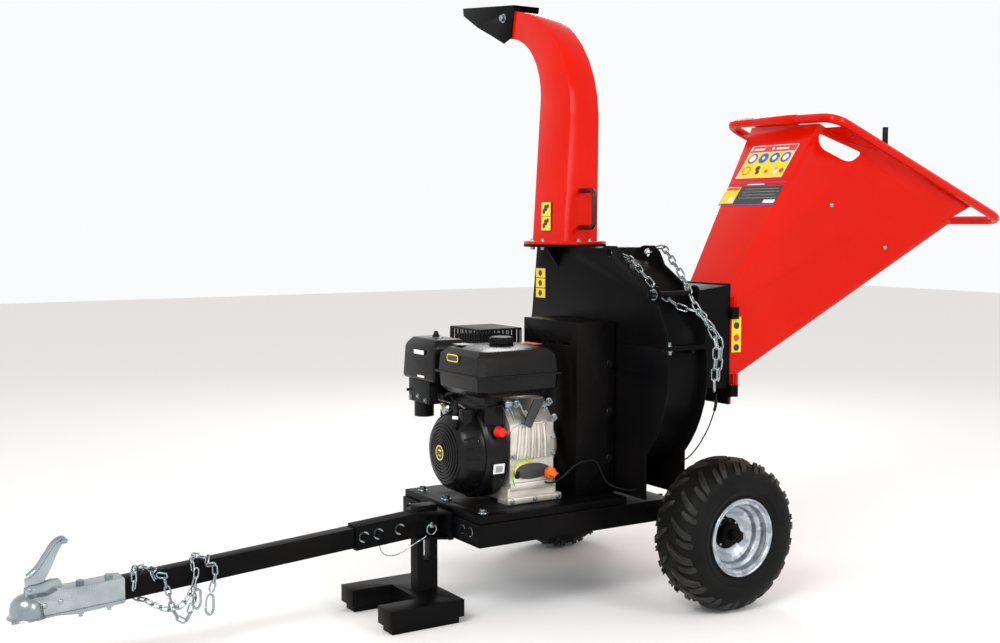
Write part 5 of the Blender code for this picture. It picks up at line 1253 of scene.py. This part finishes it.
# ---------------------------------------------------------------- coupler, stand, frame
def make_coupler():
    nose = [
        (0.0, 0.2055), (0.01, 0.2048), (0.02, 0.2018), (0.029, 0.1955), (0.0355, 0.186), (0.0392, 0.174),
        (0.0402, 0.162), (0.0412, 0.157), (0.0445, 0.1545), (0.0455, 0.1525), (0.044, 0.1512),
        (0.03, 0.151), (0.0262, 0.152), (0.0255, 0.168), (0.018, 0.182), (0.0, 0.188),
    ]
    dome = lathe(nose, (BALL_X, 0, 0), UP, 64)
    side = [(-1.722, 0.1545), (-1.722, 0.1965), (-1.7, 0.201), (-1.676, 0.2005)]
    side += [
        (x, drawbar_z(x) + DRAWBAR_H + up)
        for x, up in ((-1.655, 0.008), (-1.62, 0.004), (-1.505, 0.004))
    ]
    side += [(x, drawbar_z(x) - 0.0045) for x in (-1.505, -1.62)] + [(-1.66, drawbar_z(-1.66) + 0.002)]
    channel = slab([rounded(side, 0.004)], (-0.0272, 0.0272), "Y")
    made = placed("coupler_pressing", joined(dome, softened(channel, 0.0042, 4)), ZINC, angle=30)
    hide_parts("coupler_body")
    shape = [
        (-1.7185, 0.211), (-1.7215, 0.238), (-1.702, 0.2505), (-1.683, 0.277), (-1.662, 0.308),
        (-1.647, 0.3225),
    ]
    shape += [(-1.63, 0.3255), (-1.627, 0.3185), (-1.638, 0.31), (-1.646, 0.296), (-1.66, 0.267)]
    shape += [(-1.67, 0.245), (-1.68, 0.229), (-1.696, 0.219), (-1.704, 0.211)]
    web = slab([rounded(shape, 0.006)], (-0.0055, 0.0055), "Y")
    flange = smooth_path(
        [(-1.715, 0, 0.244), (-1.695, 0, 0.26), (-1.676, 0, 0.286), (-1.656, 0, 0.314), (-1.638, 0, 0.323)]
    )
    flanges = [pipe([p + Vector((0, y, 0)) for p in flange], 0.0042, 12) for y in (-0.0065, 0.0, 0.0065)]
    grip = pipe([(-1.6345, -0.0135, 0.3175), (-1.6345, 0.0135, 0.3175)], 0.0078, 20)
    made = placed(
        "coupler_lever_pressing", joined(softened(web, 0.0018, 3), *flanges, softened(grip, 0.002)), ZINC,
        "coupler_lever", 30,
    )
    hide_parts("coupler_lever")
    cheek = [(-1.723, 0.199), (-1.7215, 0.218), (-1.712, 0.224), (-1.695, 0.224), (-1.665, 0.23)]
    cheek += [(-1.644, 0.229), (-1.642, 0.219), (-1.642, 0.204), (-1.66, 0.203), (-1.7, 0.1985)]
    for name, sign in SIDES:
        sides = sorted((sign * 0.0064, sign * 0.0094))
        placed(
            "coupler_cheek_" + name, softened(slab([rounded(cheek, 0.004)], sides, "Y"), 0.0008), ZINC,
            angle=30,
        )
        placed(
            "coupler_lever_pin_" + name,
            dome_screw((LEVER_PIVOT_X, sign * 0.0094, 0.215), (0, sign, 0), 0.005), ZINC,
        )
    for k, (x, up) in enumerate(((-1.684, 0.03), (-1.65, 0.032))):
        for name, sign in SIDES:
            place = (x, sign * 0.0275, drawbar_z(x) + up)
            placed(f"coupler_rivet_{k}_{name}", dome_screw(place, (0, sign, 0), 0.0062), ZINC)
    for k, x in enumerate((-1.535, -1.6)):
        placed(f"coupler_nut_{k}", hex_bolt((x, 0, drawbar_z(x) + 0.0535), UP, 0.0185), ZINC)
        placed(f"coupler_under_nut_{k}", stud_nut((x, 0, drawbar_z(x) - 0.0035), DOWN, 0.0165), ZINC)
    for name, sign in SIDES:
        edge = [
            (-1.756, sign * 0.0262, drawbar_z(-1.756) + 0.006),
            (-1.64, sign * 0.0272, drawbar_z(-1.64) + 0.004),
        ]
        edge += [(-1.505, sign * 0.0272, drawbar_z(-1.505) + 0.002)]
        wire("coupler_edge_" + name, edge, 0.0034, ZINC)


def make_stand():
    refine("stand_leg", BLACK, 0.0012)
    refine("stand_pin", ZINC, 0.0006)
    lanyard = [
        (-0.842, -0.012, 0.2), (-0.841, -0.013, 0.19), (-0.832, -0.016, 0.176), (-0.815, -0.02, 0.17),
        (-0.795, -0.026, 0.173), (-0.772, -0.034, 0.186), (-0.75, -0.04, 0.2), (-0.73, -0.0455, 0.211),
        (-0.7235, -0.0462, 0.2165),
    ]
    made = wire("lanyard_cable", lanyard, 0.0014, ZINC, 8)
    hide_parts("pin_lanyard")


BRIGHT_BOLTS = (
    (
        "chassis", 0.0175, UP,
        ((-0.62, -0.165, 0.288), (-0.62, 0.03, 0.288), (-0.62, 0.165, 0.288), (-0.33, 0.175, 0.288)),
    ),
    (
        "chassis", 0.0165, FRONT,
        ((-0.659, -0.165, 0.243), (-0.659, -0.125, 0.243), (-0.659, 0.125, 0.243), (-0.659, 0.165, 0.243)),
    ),
    ("chassis", 0.0135, NEAR, ((-0.193, -0.135, 0.648), (-0.193, -0.135, 0.515), (-0.193, -0.135, 0.385))),
    ("chassis", 0.0195, DOWN, ((-0.155, -0.335, 0.699),)),
    ("chassis", 0.017, UP, ((-0.155, -0.335, 0.711),)),
    ("deflector", 0.018, FRONT, ((-0.1765, 0.449, 1.666),)),
    ("deflector", 0.018, (1, 0, 0), ((-0.0835, 0.449, 1.666),)),
    (
        "chassis", 0.012, DOWN,
        ((-0.226, 0.15, 0.965), (-0.226, 0.206, 0.965), (-0.15, 0.079, 0.965), (-0.11, 0.079, 0.965)),
    ),
    (
        "chute", 0.011, UP,
        ((-0.226, 0.15, 0.982), (-0.226, 0.206, 0.982), (-0.15, 0.079, 0.982), (-0.11, 0.079, 0.982)),
    ),
)


def make_bolts():
    count = 0
    for body, across, direction, places in BRIGHT_BOLTS:
        for place in places:
            made = hex_bolt(place, direction, across)
            placed(f"bolt_{count}", made, ZINC, body, 25)
            count += 1
    for k, x in enumerate((-0.893, -0.852, -0.79)):
        place = (x, -0.025, drawbar_z(x) + 0.026)
        placed(f"sleeve_bolt_{k}", hex_bolt(place, NEAR, 0.0185), ZINC, angle=25)
    placed("tie_bar_bolt", hex_bolt((-0.174, -0.3, 0.846), FRONT, 0.0195), ZINC, angle=25)


def make_frame_details():
    outline = [(-0.1705, 0.964), (-0.215, 0.964), (-0.1705, 0.905)]
    placed("neck_gusset", softened(slab([outline], (0.15, 0.156), "Y"), 0.001), BLACK, angle=30)
    face = -0.1703
    sticker("housing_label_edge", (face, 0.2715, 0.81), (0, -0.053, 0), (0, 0, 0.0905), DARK_LABEL, 0.001)
    for k, z in enumerate((0.8115, 0.8415, 0.8715)):
        sticker(
            f"housing_label_{k}", (face, 0.27, z), (0, -0.05, 0), (0, 0, 0.0275), YELLOW_LABEL, 0.0014,
            0.001,
        )
        place = (face - 0.001, 0.246, z + 0.0135)
        disc_sticker(f"housing_label_mark_{k}", place, FRONT, 0.0088, DARK_LABEL, 0.0012)


REFINED = (
    (BLACK, "axle_beam chassis_frame engine_tray drawbar stand_receiver belt_guard tie_bar", 0.0015),
    (BLACK, "housing_lower housing_upper infeed_throat", 0.0012),
    (CAST, "front_bearing rear_bearing", 0.002),
    (STEEL, "anvil rotor_shaft rotor_disc drive_pulley driven_pulley crankshaft", 0.0008),
    (STEEL, "chipper_knife_1 chipper_knife_2", 0.0005),
    (RUBBER, "drive_belt", 0.001),
)

make_camera()
make_stage()
for side_name, side_sign in SIDES:
    make_wheel(side_name, side_sign)
make_chains()
make_hopper()
make_curtain()
make_chute()
make_starter()
make_tank()
make_air_side()
make_crankcase()
make_small_controls()
make_silencer()
make_coupler()
make_stand()
make_bolts()
make_frame_details()
for finish, names, width in REFINED:
    for node in names.split():
        refine(node, finish, width)
